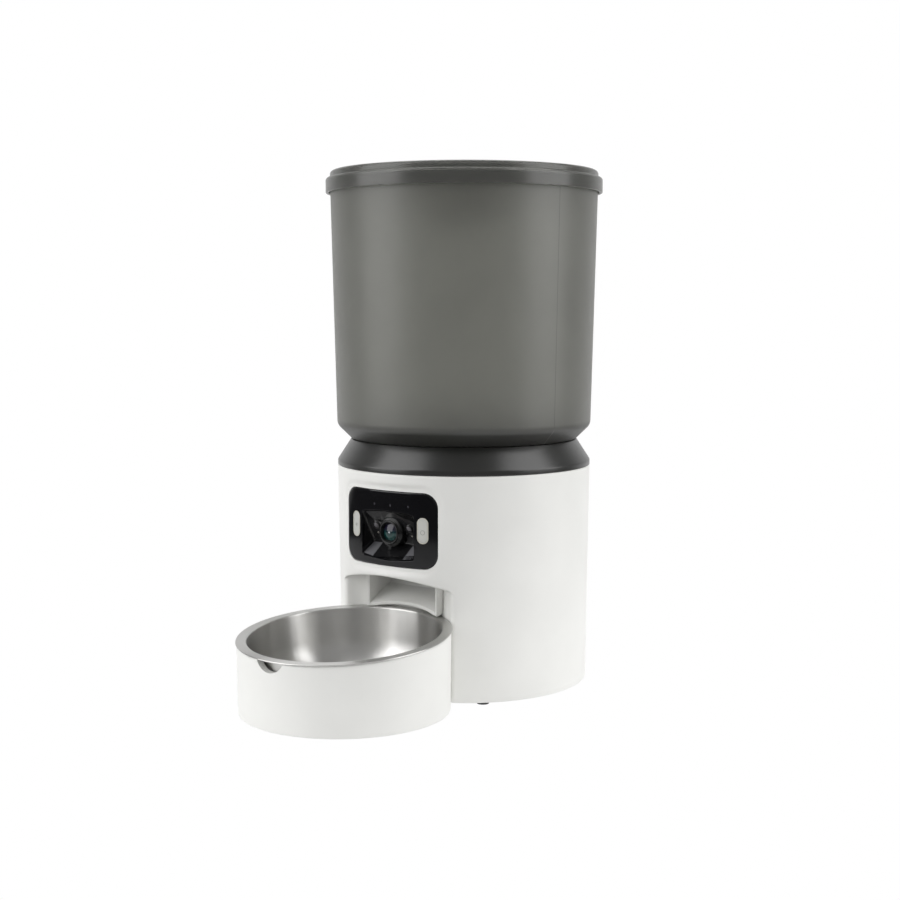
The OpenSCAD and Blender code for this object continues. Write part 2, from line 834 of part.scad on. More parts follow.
module battery_door() {
    color(white) at_body() difference() {
        union() {
            translate([-door_x, door_y0, foot_h])
                cube([2 * door_x, door_y1 - door_y0, 2 * door_hinge_r]);
            translate([-door_x, door_y1, foot_h + door_hinge_r]) rotate([0, 90, 0])
                cylinder(h = 2 * door_x, r = door_hinge_r);
        }
        translate([-9, door_y0 + 5, foot_h - 1]) cube([18, 1.6, 2]);
        translate([-9, door_y0 + 8.5, foot_h - 1]) cube([18, 1.6, 2]);
    }
}

module main_board() {
    color(board_green) at_body() difference() {
        translate([-32, 66, 36]) cube([64, 1.6, 80]);
        for (x = [-28, 28], z = [40, 112]) translate([x, 60, z])
            rotate([-90, 0, 0]) cylinder(h = 10, r = 1.6);
    }
}

module board_components() {
    color(black) at_body() {
        translate([-10, 67.6, 60]) cube([16, 2, 16]);
        translate([12, 67.6, 48]) cube([12, 1.6, 10]);
        translate([-26, 67.6, 84]) cube([10, 7, 14]);
        for (i = [0:2]) translate([-22 + i * 9, 67.6, 46]) rotate([-90, 0, 0]) cylinder(h = 9, r = 3.2);
    }
}

module speaker() {
    color(black) at_body() translate([0, 0, speaker_z]) rotate([-90, 0, 0]) difference() {
        union() {
            translate([0, 0, 76]) cylinder(h = 4, r = 9);
            translate([0, 0, 80 - eps]) cylinder(h = 6, r1 = 9, r2 = 15);
            translate([0, 0, 86 - 2 * eps]) cylinder(h = 2.4, r = speaker_r);
        }
        translate([0, 0, 82]) cylinder(h = 8, r1 = 5, r2 = 14);
    }
}

module dc_jack() {
    color(black) at_body() translate([0, jack_face, jack_z]) difference() {
        union() {
            translate([-5.5, -16, -6]) cube([11, 13, 12]);
            translate([0, -4, 0]) rotate([-90, 0, 0]) cylinder(h = 4, r = 5.1);
        }
        translate([0, -jack_depth, 0]) rotate([-90, 0, 0]) cylinder(h = 20, r = jack_r);
        translate([0, -jack_depth - 2, 0]) rotate([-90, 0, 0])
            cylinder(h = 4, r = jack_pin_r + slack);
    }
}

module jack_pin() {
    color(steel) at_body() translate([0, jack_face - jack_depth - 2, jack_z]) rotate([-90, 0, 0])
        cylinder(h = 7, r = jack_pin_r);
}

module feed_button() {
    face = base_r(button_z) + 0.6;
    color([0.8, 0.8, 0.78]) at_body() translate([0, 0, button_z]) rotate([-90, 0, 0]) {
        translate([0, 0, face - 8]) cylinder(h = 8, r = button_r);
        translate([0, 0, face - 8]) cylinder(h = 2, r = button_r + 1.8);
    }
}

module button_switch() {
    back = base_r(button_z) + 0.6 - 8 - button_travel - 0.3;
    color(black) at_body() translate([0, 0, button_z]) {
        translate([-3, back - 4, -3]) cube([6, 4, 6]);
        translate([-12, back - 5.6, -9]) cube([24, 1.6, 18]);
    }
}

// ---------------------------------------------------------------- hopper and lid

module hopper_shell() {
    low_r = hopper_low_d / 2;
    top_r = hopper_top_d / 2;
    foot_r = neck_top_d / 2;
    color(smoke) at_body() rotate_extrude($fn = 180) polygon(concat(
        [
            [outlet_r, chamber_flange_z + 0.5], [outlet_r + 2.2, chamber_flange_z + 0.5],
            [outlet_r + 2.2, 175.5], [76.8, 183.2], [76.8, 178.5], [79.2, 178.5],
            [79.2, hopper_foot_z], [foot_r, hopper_foot_z]
        ],
        arc_points(low_r - 6, chamfer_top_z + 2, 6, -45, 0, 6),
        [
            [top_r, hopper_rim_z - 1], [top_r - 0.8, hopper_rim_z],
            [top_r - hopper_wall, hopper_rim_z]
        ],
        arc_points(low_r - 8, chamfer_top_z + 3, 8 - hopper_wall, 0, -45, 6),
        [[foot_r - 0.9, hopper_foot_z + 3.2], [outlet_r, 177.8]]
    ));
}

module lid_shell() {
    r = lid_d / 2;
    low_z = hopper_rim_z - skirt_drop;
    step_r = r - 3.2;
    inner_r = r - 2.2;
    seat_z = hopper_rim_z + 0.4;
    color(smoke) at_body() rotate_extrude($fn = 180) polygon(concat(
        [[inner_r, low_z], [r - 0.4, low_z]],
        [[r, low_z + 0.5]],
        arc_points(r - 3, hopper_rim_z - 1.2, 3, 0, 75, 6),
        [[step_r, hopper_rim_z + 3]],
        arc_points(step_r - 3.8, lid_top_z - 3.8, 3.8, 0, 90, 6),
        [
            [basket_r + 6, lid_top_z], [basket_r + 4, lid_top_z - 0.8], [0, lid_top_z - 0.8],
            [0, lid_top_z - lid_t - 0.8], [basket_r + 3, lid_top_z - lid_t - 0.8],
            [93.4, lid_top_z - lid_t], [93.4, hopper_rim_z - 5.5], [95.6, hopper_rim_z - 5.5],
            [95.6, seat_z], [inner_r, seat_z]
        ]
    ));
}

module lid_seal() {
    color([0.6, 0.6, 0.6]) at_body() rotate_extrude($fn = 180) polygon([
        [95.6, hopper_rim_z - 4.6], [96.6, hopper_rim_z - 4.4], [97, hopper_rim_z - 3.4],
        [96.3, hopper_rim_z - 2.6], [97, hopper_rim_z - 1.6], [96.6, hopper_rim_z - 0.6],
        [95.6, hopper_rim_z - 0.4]
    ]);
}

module desiccant_basket() {
    top_z = lid_top_z - lid_t - 0.8;
    color([0.85, 0.85, 0.83]) at_body() difference() {
        ring(basket_r - 1.8, basket_r, top_z - basket_h, top_z);
        for (a = [0:15:345]) rotate([0, 0, a])
            translate([basket_r - 4, -1.5, top_z - basket_h + 8]) cube([8, 3, basket_h - 14]);
    }
}

module desiccant_cap() {
    z = lid_top_z - lid_t - 0.8 - basket_h;
    color([0.85, 0.85, 0.83]) at_body() difference() {
        union() {
            translate([0, 0, z - 2.4]) cylinder(h = 2.2, r = basket_r);
            translate([0, 0, z - 0.3]) cylinder(h = 5, r = basket_r - 1.8 - gap);
            translate([-basket_r + 6, -1.5, z - 7]) cube([2 * basket_r - 12, 3, 5]);
        }
        translate([0, 0, z - 0.2]) cylinder(h = 6, r = basket_r - 4);
        for (a = [22.5:45:337.5]) rotate([0, 0, a])
            translate([9, -1.5, z - 3]) cube([13, 3, 6]);
    }
}

// ---------------------------------------------------------------- bowl and stand

module below_rim_plane(drop) {
    at_tilted_bowl() translate([-100, -100, -100 - drop]) cube([200, 200, 100]);
}

module stand_shell() {
    r = stand_d / 2;
    inner_r = r - 2.8;
    bore_r = bowl_mouth_d / 2 + 1.6;
    notch_r = 13.3;
    notch_z = 57.7;
    color(white) difference() {
        intersection() {
            at_bowl() translate([0, 0, foot_h]) cylinder(h = 70, r1 = r - 0.5, r2 = r);
            below_rim_plane(flange_t + slack);
        }
        intersection() {
            at_bowl() translate([0, 0, foot_h + 2.5]) cylinder(h = 70, r = inner_r);
            below_rim_plane(14);
        }
        at_tilted_bowl() translate([0, 0, -25]) cylinder(h = 40, r = bore_r);
        at_bowl() translate([0, -50, notch_z]) rotate([90, 0, 0]) cylinder(h = 40, r = notch_r);
    }
}

module stand_feet() {
    color(rubber) at_bowl() for (a = [0:90:270]) rotate([0, 0, a])
        translate([56, 0, 0]) cylinder(h = foot_h, r1 = 4.4, r2 = 5);
}

module bowl() {
    r = bowl_mouth_d / 2;
    rim_r = bowl_rim_d / 2;
    t = 0.8;
    bend = bowl_depth - 4;
    color(steel) at_tilted_bowl() rotate_extrude($fn = 180) polygon(concat(
        [[0, -bowl_depth - t], [r + t - bend, -bowl_depth - t]],
        arc_points(r - bend, bend - bowl_depth, bend + t, -90, 0, 20),
        [[r + t, -flange_t], [rim_r - 1.1, -flange_t]],
        arc_points(rim_r - flange_t / 2, -flange_t / 2, flange_t / 2, -90, 90, 8),
        [[r + 0.6, 0]],
        arc_points(r - bend, bend - bowl_depth, bend, 0, -90, 20),
        [[0, -bowl_depth]]
    ));
}

// ---------------------------------------------------------------- assembly

main_shell();
neck_ring();
bottom_cover();
chute();
base_feet();
case_screws();
front_panel();
side_windows();
indicator_lights();
camera_pocket();
infrared_leds();
camera_barrel();
lens_ring();
camera_lens();
camera_board();
dispenser_chamber();
portion_plate();
shaft_bush();
chamber_screws();
rotor();
rotor_wipers();
agitator();
drive_shaft();
drive_gear();
motor_pinion();
gearbox_shaft();
gearbox_housing();
motor_can();
motor_terminals();
motor_bracket();
bracket_screws();
gearbox_screws();
battery_box();
battery_cells();
battery_contacts();
battery_door();
main_board();
board_components();
speaker();
dc_jack();
jack_pin();
feed_button();
button_switch();
hopper_shell();
lid_shell();
lid_seal();
desiccant_basket();
desiccant_cap();
stand_shell();
stand_feet();
bowl();
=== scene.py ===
"""Automatic pet feeder: looks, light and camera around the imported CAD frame.

Pieces are drawn in millimetres and turned into metres when a mesh is made. "Forward" is the
distance from the body's axis towards the bowl, which is -Y.
"""

import json
import math

import bmesh
import bpy
from mathutils import Matrix, Vector


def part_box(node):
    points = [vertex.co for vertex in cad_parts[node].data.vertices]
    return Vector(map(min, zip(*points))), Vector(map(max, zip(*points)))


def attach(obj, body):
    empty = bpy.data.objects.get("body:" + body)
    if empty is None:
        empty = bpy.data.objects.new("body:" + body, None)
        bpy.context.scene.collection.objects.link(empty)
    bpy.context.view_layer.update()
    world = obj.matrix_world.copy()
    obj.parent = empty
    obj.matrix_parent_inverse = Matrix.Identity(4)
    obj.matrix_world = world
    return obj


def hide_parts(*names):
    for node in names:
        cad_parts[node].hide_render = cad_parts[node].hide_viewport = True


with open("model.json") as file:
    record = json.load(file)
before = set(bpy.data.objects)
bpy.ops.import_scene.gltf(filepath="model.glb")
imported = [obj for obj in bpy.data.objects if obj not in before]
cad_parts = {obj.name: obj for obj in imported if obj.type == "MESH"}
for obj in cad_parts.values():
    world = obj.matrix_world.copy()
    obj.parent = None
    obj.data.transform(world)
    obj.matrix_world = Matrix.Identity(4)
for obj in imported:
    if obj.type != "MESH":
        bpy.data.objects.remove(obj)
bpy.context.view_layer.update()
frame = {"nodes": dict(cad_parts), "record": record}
MM = 0.001


def box_middle(node):
    low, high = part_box(node)
    return (low + high) / 2


def box_sizes(node):
    low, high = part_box(node)
    return (high - low) / MM


def link_object(name, data):
    """A new object in the scene, from mesh, light or camera data."""
    made = bpy.data.objects.new(name, data)
    bpy.context.scene.collection.objects.link(made)
    return made


BODY_Y = box_middle("hopper_shell").y
BOWL_Y = box_middle("stand_shell").y
BOWL_REACH = (BODY_Y - BOWL_Y) / MM
LENS_CENTRE = box_middle("camera_lens")
LENS_RADIUS = box_sizes("camera_lens").x / 2 * MM

# ------------------------------------------------------------------ camera

CAMERA_RANGE = 1.125
CAMERA_HEIGHT = 0.2858
CAMERA_AZIMUTH = math.radians(37.372)
CAMERA_TURN = math.radians(0.532)
CAMERA_PITCH = math.radians(5.615)
CAMERA_LENS = 59.65


def around_body(azimuth, distance, height):
    """A place seen from the body's axis, at an azimuth from the front towards +X."""
    return Vector((distance * math.sin(azimuth), BODY_Y - distance * math.cos(azimuth), height))


def add_camera():
    data = bpy.data.cameras.new("camera")
    data.lens = CAMERA_LENS
    data.sensor_width = 36
    camera = link_object("camera", data)
    camera.location = around_body(CAMERA_AZIMUTH, CAMERA_RANGE, CAMERA_HEIGHT)
    camera.rotation_euler = (math.pi / 2 - CAMERA_PITCH, 0, CAMERA_AZIMUTH + CAMERA_TURN)
    bpy.context.scene.camera = camera


add_camera()

# ------------------------------------------------------------------ light and floor

SOFT_BOXES = [
    # name, azimuth from the camera, distance (below zero: behind), height, width, length, power
    ("left_soft_box", -72, 1.45, 0.85, 1.2, 2.0, 18.5),
    ("right_soft_box", 72, 1.45, 0.85, 1.2, 2.0, 18.5),
    ("top_soft_box", 0, -0.4, 1.7, 1.6, 1.2, 11),
]
AIM_HEIGHT = 0.2
FLOOR_R = 2.6
FLOOR_Z = -0.0002
WHITE = (1, 1, 1, 1)
AWAY = (-math.sin(CAMERA_AZIMUTH), math.cos(CAMERA_AZIMUTH), 0)
# World: (share of the turn from the camera's side to the far side, grey)
WORLD_GREYS = [(0.0, 0.4), (0.2, 0.34), (0.42, 0.27), (0.6, 0.2), (0.74, 0.3), (0.88, 0.68),
               (1.0, 0.72)]
# Floor: (distance from the middle in metres, grey), and where it turns bright again behind
FLOOR_GREYS = [(0.0, 1.0), (0.35, 1.0), (0.7, 0.5), (0.765, 0.42), (0.78, 0.0)]
FLOOR_BEHIND = (0.45, 0.7)


def add_lights():
    target = Vector((0, BODY_Y, AIM_HEIGHT))
    for name, turn, distance, height, width, length, power in SOFT_BOXES:
        data = bpy.data.lights.new(name, "AREA")
        data.shape = "RECTANGLE"
        data.size = width
        data.size_y = length
        data.energy = power
        light = link_object(name, data)
        light.location = around_body(CAMERA_AZIMUTH + math.radians(turn), distance, height)
        light.rotation_euler = (target - light.location).to_track_quat("-Z", "Y").to_euler()


def add_node(tree, kind, inputs=(), **settings):
    """A shader node. Its inputs are values or other nodes' outputs, in order or by name."""
    node = tree.nodes.new("ShaderNode" + kind)
    for name, value in settings.items():
        setattr(node, name, value)
    for key, value in inputs.items() if isinstance(inputs, dict) else enumerate(inputs):
        if isinstance(value, bpy.types.NodeSocket):
            tree.links.new(value, node.inputs[key])
        else:
            node.inputs[key].default_value = value
    return node


def grey_ramp(tree, value, stops):
    """A colour ramp through (position, grey) stops."""
    ramp = add_node(tree, "ValToRGB", [value])
    elements = ramp.color_ramp.elements
    elements.remove(elements[0])
    elements[0].position = stops[0][0]
    elements[0].color = (stops[0][1],) * 3 + (1,)
    for position, grey in stops[1:]:
        elements.new(position).color = (grey, grey, grey, 1)
    return ramp


def white_to_camera(tree, other, white, output):
    """Shows plain white to the camera, and the other shader to all other rays."""
    seen = add_node(tree, "LightPath").outputs["Is Camera Ray"]
    mix = add_node(tree, "MixShader", [seen, other.outputs[0], white.outputs[0]])
    tree.links.new(mix.outputs[0], output.inputs["Surface"])


def add_world():
    """Bright behind the object, dimmer at its sides and in front."""
    world = bpy.data.worlds.new("studio")
    world.use_nodes = True
    bpy.context.scene.world = world
    tree = world.node_tree
    tree.nodes.clear()
    place = add_node(tree, "TexCoord").outputs["Generated"]
    facing = add_node(tree, "VectorMath", [place, AWAY], operation="DOT_PRODUCT")
    share = add_node(tree, "MapRange", {"Value": facing.outputs["Value"], "From Min": -1})
    ramp = grey_ramp(tree, share.outputs["Result"], WORLD_GREYS)
    ramp.color_ramp.interpolation = "EASE"
    around = add_node(tree, "Background", {"Color": ramp.outputs["Color"]})
    white = add_node(tree, "Background", {"Color": WHITE})
    white_to_camera(tree, around, white, add_node(tree, "OutputWorld"))


def add_floor():
    """Bright paper near the object and behind it, dark elsewhere."""
    mesh = bpy.data.meshes.new("floor")
    maker = bmesh.new()
    bmesh.ops.create_circle(maker, cap_ends=True, segments=96, radius=FLOOR_R)
    maker.to_mesh(mesh)
    maker.free()
    floor = link_object("floor", mesh)
    floor.location.z = FLOOR_Z
    paper = bpy.data.materials.new("white_paper")
    paper.use_nodes = True
    tree = paper.node_tree
    shader = tree.nodes["Principled BSDF"]
    for name, value in (("Roughness", 0.9), ("Specular IOR Level", 0.0), ("Emission Color", WHITE)):
        shader.inputs[name].default_value = value
    place = add_node(tree, "TexCoord").outputs["Object"]
    far = add_node(tree, "VectorMath", [place], operation="LENGTH").outputs["Value"]
    near = grey_ramp(tree, far, FLOOR_GREYS).outputs["Color"]
    behind = add_node(tree, "VectorMath", [place, AWAY], operation="DOT_PRODUCT").outputs["Value"]
    start, full = FLOOR_BEHIND
    past = add_node(tree, "MapRange", {"Value": behind, "From Min": start, "From Max": full})
    bright = add_node(tree, "Math", [near, past.outputs["Result"]], operation="MAXIMUM").outputs[0]
    for name, low, high in (("Base Color", 0.03, 0.42), ("Emission Strength", 0.02, 0.5)):
        level = add_node(tree, "MapRange", {"Value": bright, "To Min": low, "To Max": high})
        tree.links.new(level.outputs["Result"], shader.inputs[name])
    white_to_camera(tree, shader, add_node(tree, "Emission"), tree.nodes["Material Output"])
    mesh.materials.append(paper)


bpy.context.scene.view_settings.view_transform = "Standard"
add_world()
add_lights()
add_floor()

# ------------------------------------------------------------------ materials

SEAM_AZIMUTH = math.radians(79.7)
SEAM_HALF_WIDTH = 0.35
# Heights in metres between which the painted shade on the hopper's foot fades into its wall
FOOT_SHADE_Z = (0.194, 0.2)
# Distances in metres from the middle between which a painted reflection turns the camera recess's
# floor paler
POCKET_REFLECTION_SPAN = (0.0135, 0.0145)
# Lens: (share of the radius, brightness of the painted reflection)
LENS_RINGS = [(0.0, 1.0), (0.08, 0.9), (0.13, 0.12), (0.22, 0.3), (0.3, 0.14), (0.62, 0.4),
              (0.7, 0.2), (0.86, 0.3), (0.97, 0.02)]


class Surface:
    """A procedural material: base colour, mottling, roughness, grain and soft, worn edges."""

    def __init__(self, name, colour, roughness, metallic=0.0, space="Object"):
        self.name = name
        self.material = bpy.data.materials.new(name)
        self.material.use_nodes = True
        self.tree = self.material.node_tree
        self.shader = self.tree.nodes["Principled BSDF"]
        self.set(Metallic=metallic, Base_Color=(*colour, 1), Roughness=roughness)
        self.colour = colour
        self.roughness = roughness
        self.place = self.node("TexCoord").outputs[space]

    def set(self, **values):
        for name, value in values.items():
            self.shader.inputs[name.replace("_", " ")].default_value = value
        return self

    def node(self, kind, inputs=(), **settings):
        return add_node(self.tree, kind, inputs, **settings)

    def feed(self, value, name):
        self.tree.links.new(value, self.shader.inputs[name])

    def noise(self, scale, detail=2.0, stretch=(1, 1, 1)):
        place = self.node("Mapping", {"Vector": self.place, "Scale": stretch}).outputs["Vector"]
        inputs = {"Vector": place, "Scale": scale, "Detail": detail}
        return self.node("TexNoise", inputs).outputs["Fac"]

    def ranged(self, value, low, high, source_low=0.3, source_high=0.7):
        inputs = {"Value": value, "To Min": low, "To Max": high}
        inputs.update({"From Min": source_low, "From Max": source_high})
        return self.node("MapRange", inputs).outputs["Result"]

    def product(self, first, second):
        return self.node("Math", [first, second], operation="MULTIPLY").outputs[0]

    def blend(self, factor, *colours):
        """Mixes two colours, each of them fixed or another node's output."""
        first, second = ((*c, 1) if isinstance(c, tuple) else c for c in colours)
        return self.node("Mix", {0: factor, 6: first, 7: second}, data_type="RGBA").outputs[2]

    def painted(self, factor, first, second):
        """Makes a blend of two colours the base colour."""
        self.paint = self.blend(factor, first, second)
        self.feed(self.paint, "Base Color")
        return self

    def mottled(self, amount, scale=25.0):
        """Slow, faint changes of colour and roughness over the surface."""
        light = tuple(min(1.0, c * (1 + amount)) for c in self.colour)
        dark = tuple(c * (1 - amount) for c in self.colour)
        self.painted(self.ranged(self.noise(scale, 4), 0, 1), dark, light)
        spread = min(0.03, self.roughness * 0.08)
        low, high = self.roughness - spread, self.roughness + spread
        self.feed(self.ranged(self.noise(scale * 9, 3), low, high), "Roughness")
        return self

    def grained(self, depth_mm, scale, stretch=(1, 1, 1), edge_mm=0.0):
        """Fine moulded or brushed grain, over edges that are rounded by edge_mm."""
        inputs = {"Strength": 1.0, "Distance": depth_mm * MM}
        inputs["Height"] = self.noise(scale, 2.0, stretch)
        if edge_mm:
            edge = self.node("Bevel", {"Radius": edge_mm * MM}, samples=6)
            self.edge = inputs["Normal"] = edge.outputs["Normal"]
        self.feed(self.node("Bump", inputs).outputs["Normal"], "Normal")
        return self

    def worn(self, colour, amount=0.5, patches=320):
        """Edges rubbed towards another colour, broken up by noise."""
        normal = self.node("NewGeometry").outputs["Normal"]
        same = self.node("VectorMath", [self.edge, normal], operation="DOT_PRODUCT")
        mask = self.ranged(same.outputs["Value"], amount, 0, 0.75, 0.97)
        patchy = self.ranged(self.noise(patches, 3), 0.2, 1)
        return self.painted(self.product(mask, patchy), self.paint, colour)


def moulded(name, colour, roughness, mottle=0.02, grain=0.006, edge=0.35):
    light = tuple(min(1.0, c * 1.12 + 0.02) for c in colour)
    surface = Surface(name, colour, roughness).mottled(mottle)
    return surface.grained(grain, 2600, edge_mm=edge).worn(light, 0.3, 90)


def polished(name, colour, roughness, edge=0.3):
    light = tuple(min(1.0, c * 1.3 + 0.03) for c in colour)
    surface = Surface(name, colour, roughness).mottled(0.08, 40)
    return surface.grained(0.0012, 700, edge_mm=edge).worn(light, 0.25, 90)


def metal(name, colour, roughness, stretch=(1, 1, 1)):
    light = tuple(min(1.0, c * 1.15) for c in colour)
    surface = Surface(name, colour, roughness, metallic=1.0).mottled(0.05, 60)
    return surface.grained(0.004, 1500, stretch, edge_mm=0.25).worn(light, 0.5)


def rubber(name, colour):
    light = tuple(c * 1.6 + 0.02 for c in colour)
    surface = Surface(name, colour, 0.75).mottled(0.12, 80)
    return surface.grained(0.02, 1800, edge_mm=0.4).worn(light, 0.4)


def spun_steel():
    """Steel turned and brushed around its axis. The lathe's UV map runs round and along."""
    surface = Surface("bowl_steel", (0.6, 0.595, 0.58), 0.27, metallic=1.0, space="UV")
    slow = surface.ranged(surface.noise(1.0, 3, (14, 40, 1)), 0, 1)
    fine = surface.ranged(surface.noise(1.0, 2, (5, 5000, 1)), 0, 0.35)
    shade = surface.blend(slow, (0.6, 0.595, 0.58), (0.66, 0.655, 0.64))
    surface.painted(fine, shade, (0.7, 0.695, 0.68))
    brushed = surface.noise(1.0, 3, (9, 2500, 1))
    surface.feed(surface.ranged(brushed, 0.285, 0.33), "Roughness")
    around = surface.node("Tangent", direction_type="UV_MAP")
    surface.feed(around.outputs["Tangent"], "Tangent")
    surface.grained(0.05, 1.0, (120, 2, 1))
    return surface.set(Anisotropic=1.0, Anisotropic_Rotation=0.25)


def smoked(name, colour, roughness, clear):
    """Smoke-grey moulded plastic that lets some light through, with painted shade that darkens its
    foot.
    """
    surface = moulded(name, colour, roughness, mottle=0.04, grain=0.003, edge=0.4)
    height = surface.node("SeparateXYZ", [surface.place]).outputs["Z"]
    # painted shade: below these heights the colour falls to a quarter
    foot = surface.ranged(height, 1, 0, *FOOT_SHADE_Z)
    surface.painted(foot, surface.paint, tuple(c * 0.25 for c in colour))
    return surface.set(Transmission_Weight=clear, IOR=1.5)


def parted(surface, shade):
    """Adds the faint line where two mould halves met, in a plane through the body's axis."""
    aside = (math.cos(SEAM_AZIMUTH), math.sin(SEAM_AZIMUTH), 0)
    across = surface.node("VectorMath", [surface.place, aside], operation="DOT_PRODUCT")
    inputs = [across.outputs["Value"], BODY_Y * math.sin(SEAM_AZIMUTH), SEAM_HALF_WIDTH * MM]
    line = surface.node("Math", inputs, operation="COMPARE")
    return surface.painted(line.outputs[0], surface.paint, shade)


def lens_with_painted_reflections():
    """Dark coated glass with painted reflections, violet above and teal below, in rings round the
    iris, and a painted glint in its middle.
    """
    surface = Surface("lens_glass", (0.02, 0.03, 0.04), 0.06)
    centred = surface.node("VectorMath", [surface.place, LENS_CENTRE], operation="SUBTRACT")
    scale = (1 / LENS_RADIUS, 0, 1 / LENS_RADIUS)
    flat = surface.node("VectorMath", [centred.outputs["Vector"], scale], operation="MULTIPLY")
    flat = flat.outputs["Vector"]
    radius = surface.node("VectorMath", [flat], operation="LENGTH").outputs["Value"]
    height = surface.node("SeparateXYZ", [flat]).outputs["Z"]
    rings = grey_ramp(surface.tree, radius, LENS_RINGS).outputs["Color"]
    # painted reflection: teal below, violet above, brighter in the rings
    below = surface.blend(rings, (0.0, 0.006, 0.007), (0.014, 0.13, 0.115))
    above = surface.blend(rings, (0.001, 0.001, 0.004), (0.022, 0.016, 0.06))
    painted_reflection = surface.blend(surface.ranged(height, 0, 1, -0.15, 0.35), below, above)
    # painted glint: a pale spot in the lens's middle
    glint = surface.ranged(radius, 1, 0, 0.07, 0.12)
    return surface.painted(glint, painted_reflection, (0.75, 0.75, 0.8)).grained(0.0002, 1500)


def pocket_plastic():
    """Gloss black, with a painted reflection: the two ends of the recess's floor are a lighter grey
    than its middle.
    """
    surface = polished("pocket_black", (0.012, 0.012, 0.013), 0.08, edge=0.2)
    # painted reflection: upward faces at the two ends of the floor turn a lighter grey
    normal = surface.node("NewGeometry").outputs["Normal"]
    upward = surface.ranged(surface.node("SeparateXYZ", [normal]).outputs["Z"], 0, 1, 0.6, 0.7)
    across = surface.node("SeparateXYZ", [surface.place]).outputs["X"]
    across = surface.node("Math", [across], operation="ABSOLUTE").outputs[0]
    ends = surface.ranged(across, 0, 1, *POCKET_REFLECTION_SPAN)
    return surface.painted(surface.product(upward, ends), surface.paint, (0.16, 0.16, 0.17))


def make_materials():
    made = [
        moulded("white_plastic", (0.86, 0.86, 0.835), 0.42),
        moulded("stand_plastic", (0.85, 0.85, 0.825), 0.42),
        parted(smoked("smoke_plastic", (0.455, 0.457, 0.425), 0.38, 0.85), (0.3, 0.3, 0.28)),
        smoked("lid_plastic", (0.305, 0.307, 0.285), 0.245, 0.85),
        polished("neck_plastic", (0.012, 0.0122, 0.011), 0.3, edge=0.5).set(
            Coat_Weight=0.35, Coat_Roughness=0.26),
        polished("panel_black", (0.004, 0.004, 0.005), 0.06),
        pocket_plastic(),
        moulded("diffuser", (0.55, 0.55, 0.52), 0.35, mottle=0.05, edge=0.5),
        polished("led_resin", (0.11, 0.105, 0.115), 0.2),
        polished("barrel_black", (0.003, 0.003, 0.003), 0.2, edge=0.15),
        lens_with_painted_reflections(),
        moulded("window_rim", (0.66, 0.64, 0.56), 0.3, mottle=0.05, edge=0.1),
        moulded("window_mark", (0.3, 0.3, 0.28), 0.4, mottle=0.05, edge=0.1),
        polished("dark_light", (0.012, 0.012, 0.02), 0.25, edge=0.1),
        polished("led_chip", (0.3, 0.28, 0.25), 0.2, edge=0.1),
        spun_steel(),
        metal("zinc_steel", (0.62, 0.63, 0.65), 0.3),
        rubber("foot_rubber", (0.03, 0.03, 0.03)),
        rubber("wiper_rubber", (0.09, 0.09, 0.09)),
        rubber("seal_silicone", (0.42, 0.42, 0.42)),
        moulded("inner_plastic", (0.68, 0.68, 0.65), 0.5),
        moulded("rotor_plastic", (0.03, 0.09, 0.17), 0.45, mottle=0.06),
        moulded("gear_nylon", (0.78, 0.74, 0.6), 0.45),
        metal("brass", (0.7, 0.48, 0.2), 0.24),
        polished("circuit_board", (0.01, 0.07, 0.03), 0.4),
        moulded("component_black", (0.012, 0.012, 0.013), 0.5, mottle=0.1),
        metal("motor_metal", (0.6, 0.6, 0.62), 0.25, (1, 1, 0.05)),
        polished("cell_wrap", (0.4, 0.24, 0.06), 0.25),
    ]
    return {surface.name: surface.material for surface in made}


MATERIALS = make_materials()
NODE_SLOTS = {part["node"]: part["material_slot"] for part in frame["record"]["subparts"]}
NODE_FINISHES = {"lid_shell": "lid_plastic", "indicator_lights": "dark_light"}
for node, slot in NODE_SLOTS.items():
    mesh = frame["nodes"][node].data
    mesh.materials.clear()
    mesh.materials.append(MATERIALS[NODE_FINISHES.get(node, slot)])

# ------------------------------------------------------------------ mesh tools


def mesh_object(name, points, faces):
    """An object from points in millimetres, in the CAD frame."""
    mesh = bpy.data.meshes.new(name)
    mesh.from_pydata([Vector(point) * MM for point in points], [], faces)
    return link_object(name, mesh)


def finish_piece(piece, slot, body, nodes=None, sharp=35.0, finish=None):
    """Cleans a piece's mesh, gives it its material and body, and hides the nodes it replaces."""
    tidy_mesh(piece.data, sharp)
    piece.data.materials.clear()
    piece.data.materials.append(MATERIALS[finish or slot])
    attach(piece, body)
    if nodes:
        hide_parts(*nodes)
    return piece


def tidy_mesh(mesh, sharp=35.0):
    maker = bmesh.new()
    maker.from_mesh(mesh)
    bmesh.ops.remove_doubles(maker, verts=maker.verts, dist=1e-6)
    bmesh.ops.dissolve_degenerate(maker, edges=maker.edges, dist=1e-7)
    bmesh.ops.recalc_face_normals(maker, faces=maker.faces)
    maker.to_mesh(mesh)
    maker.free()
    mesh.shade_smooth()
    mesh.set_sharp_from_angle(angle=math.radians(sharp))


def rounded(corners, closed=True, steps=6):
    """An outline through corners (across, up, radius), each rounded by its radius."""
    points = []
    last = len(corners) - 1
    for i, (across, up, radius) in enumerate(corners):
        here = Vector((across, up))
        if radius == 0 or (not closed and i in (0, last)):
            points.append(here)
            continue
        before = Vector(corners[i - 1][:2]) - here
        after = Vector(corners[(i + 1) % len(corners)][:2]) - here
        half = before.angle(after) / 2
        reach = min(radius / math.tan(half), 0.49 * before.length, 0.49 * after.length)
        start = here + before.normalized() * reach
        end = here + after.normalized() * reach
        for k in range(steps + 1):
            t = k / steps
            a, b, c = (1 - t) ** 2, 2 * t * (1 - t) * math.sin(half), t * t
            points.append((start * a + here * b + end * c) / (a + b + c))
    return points


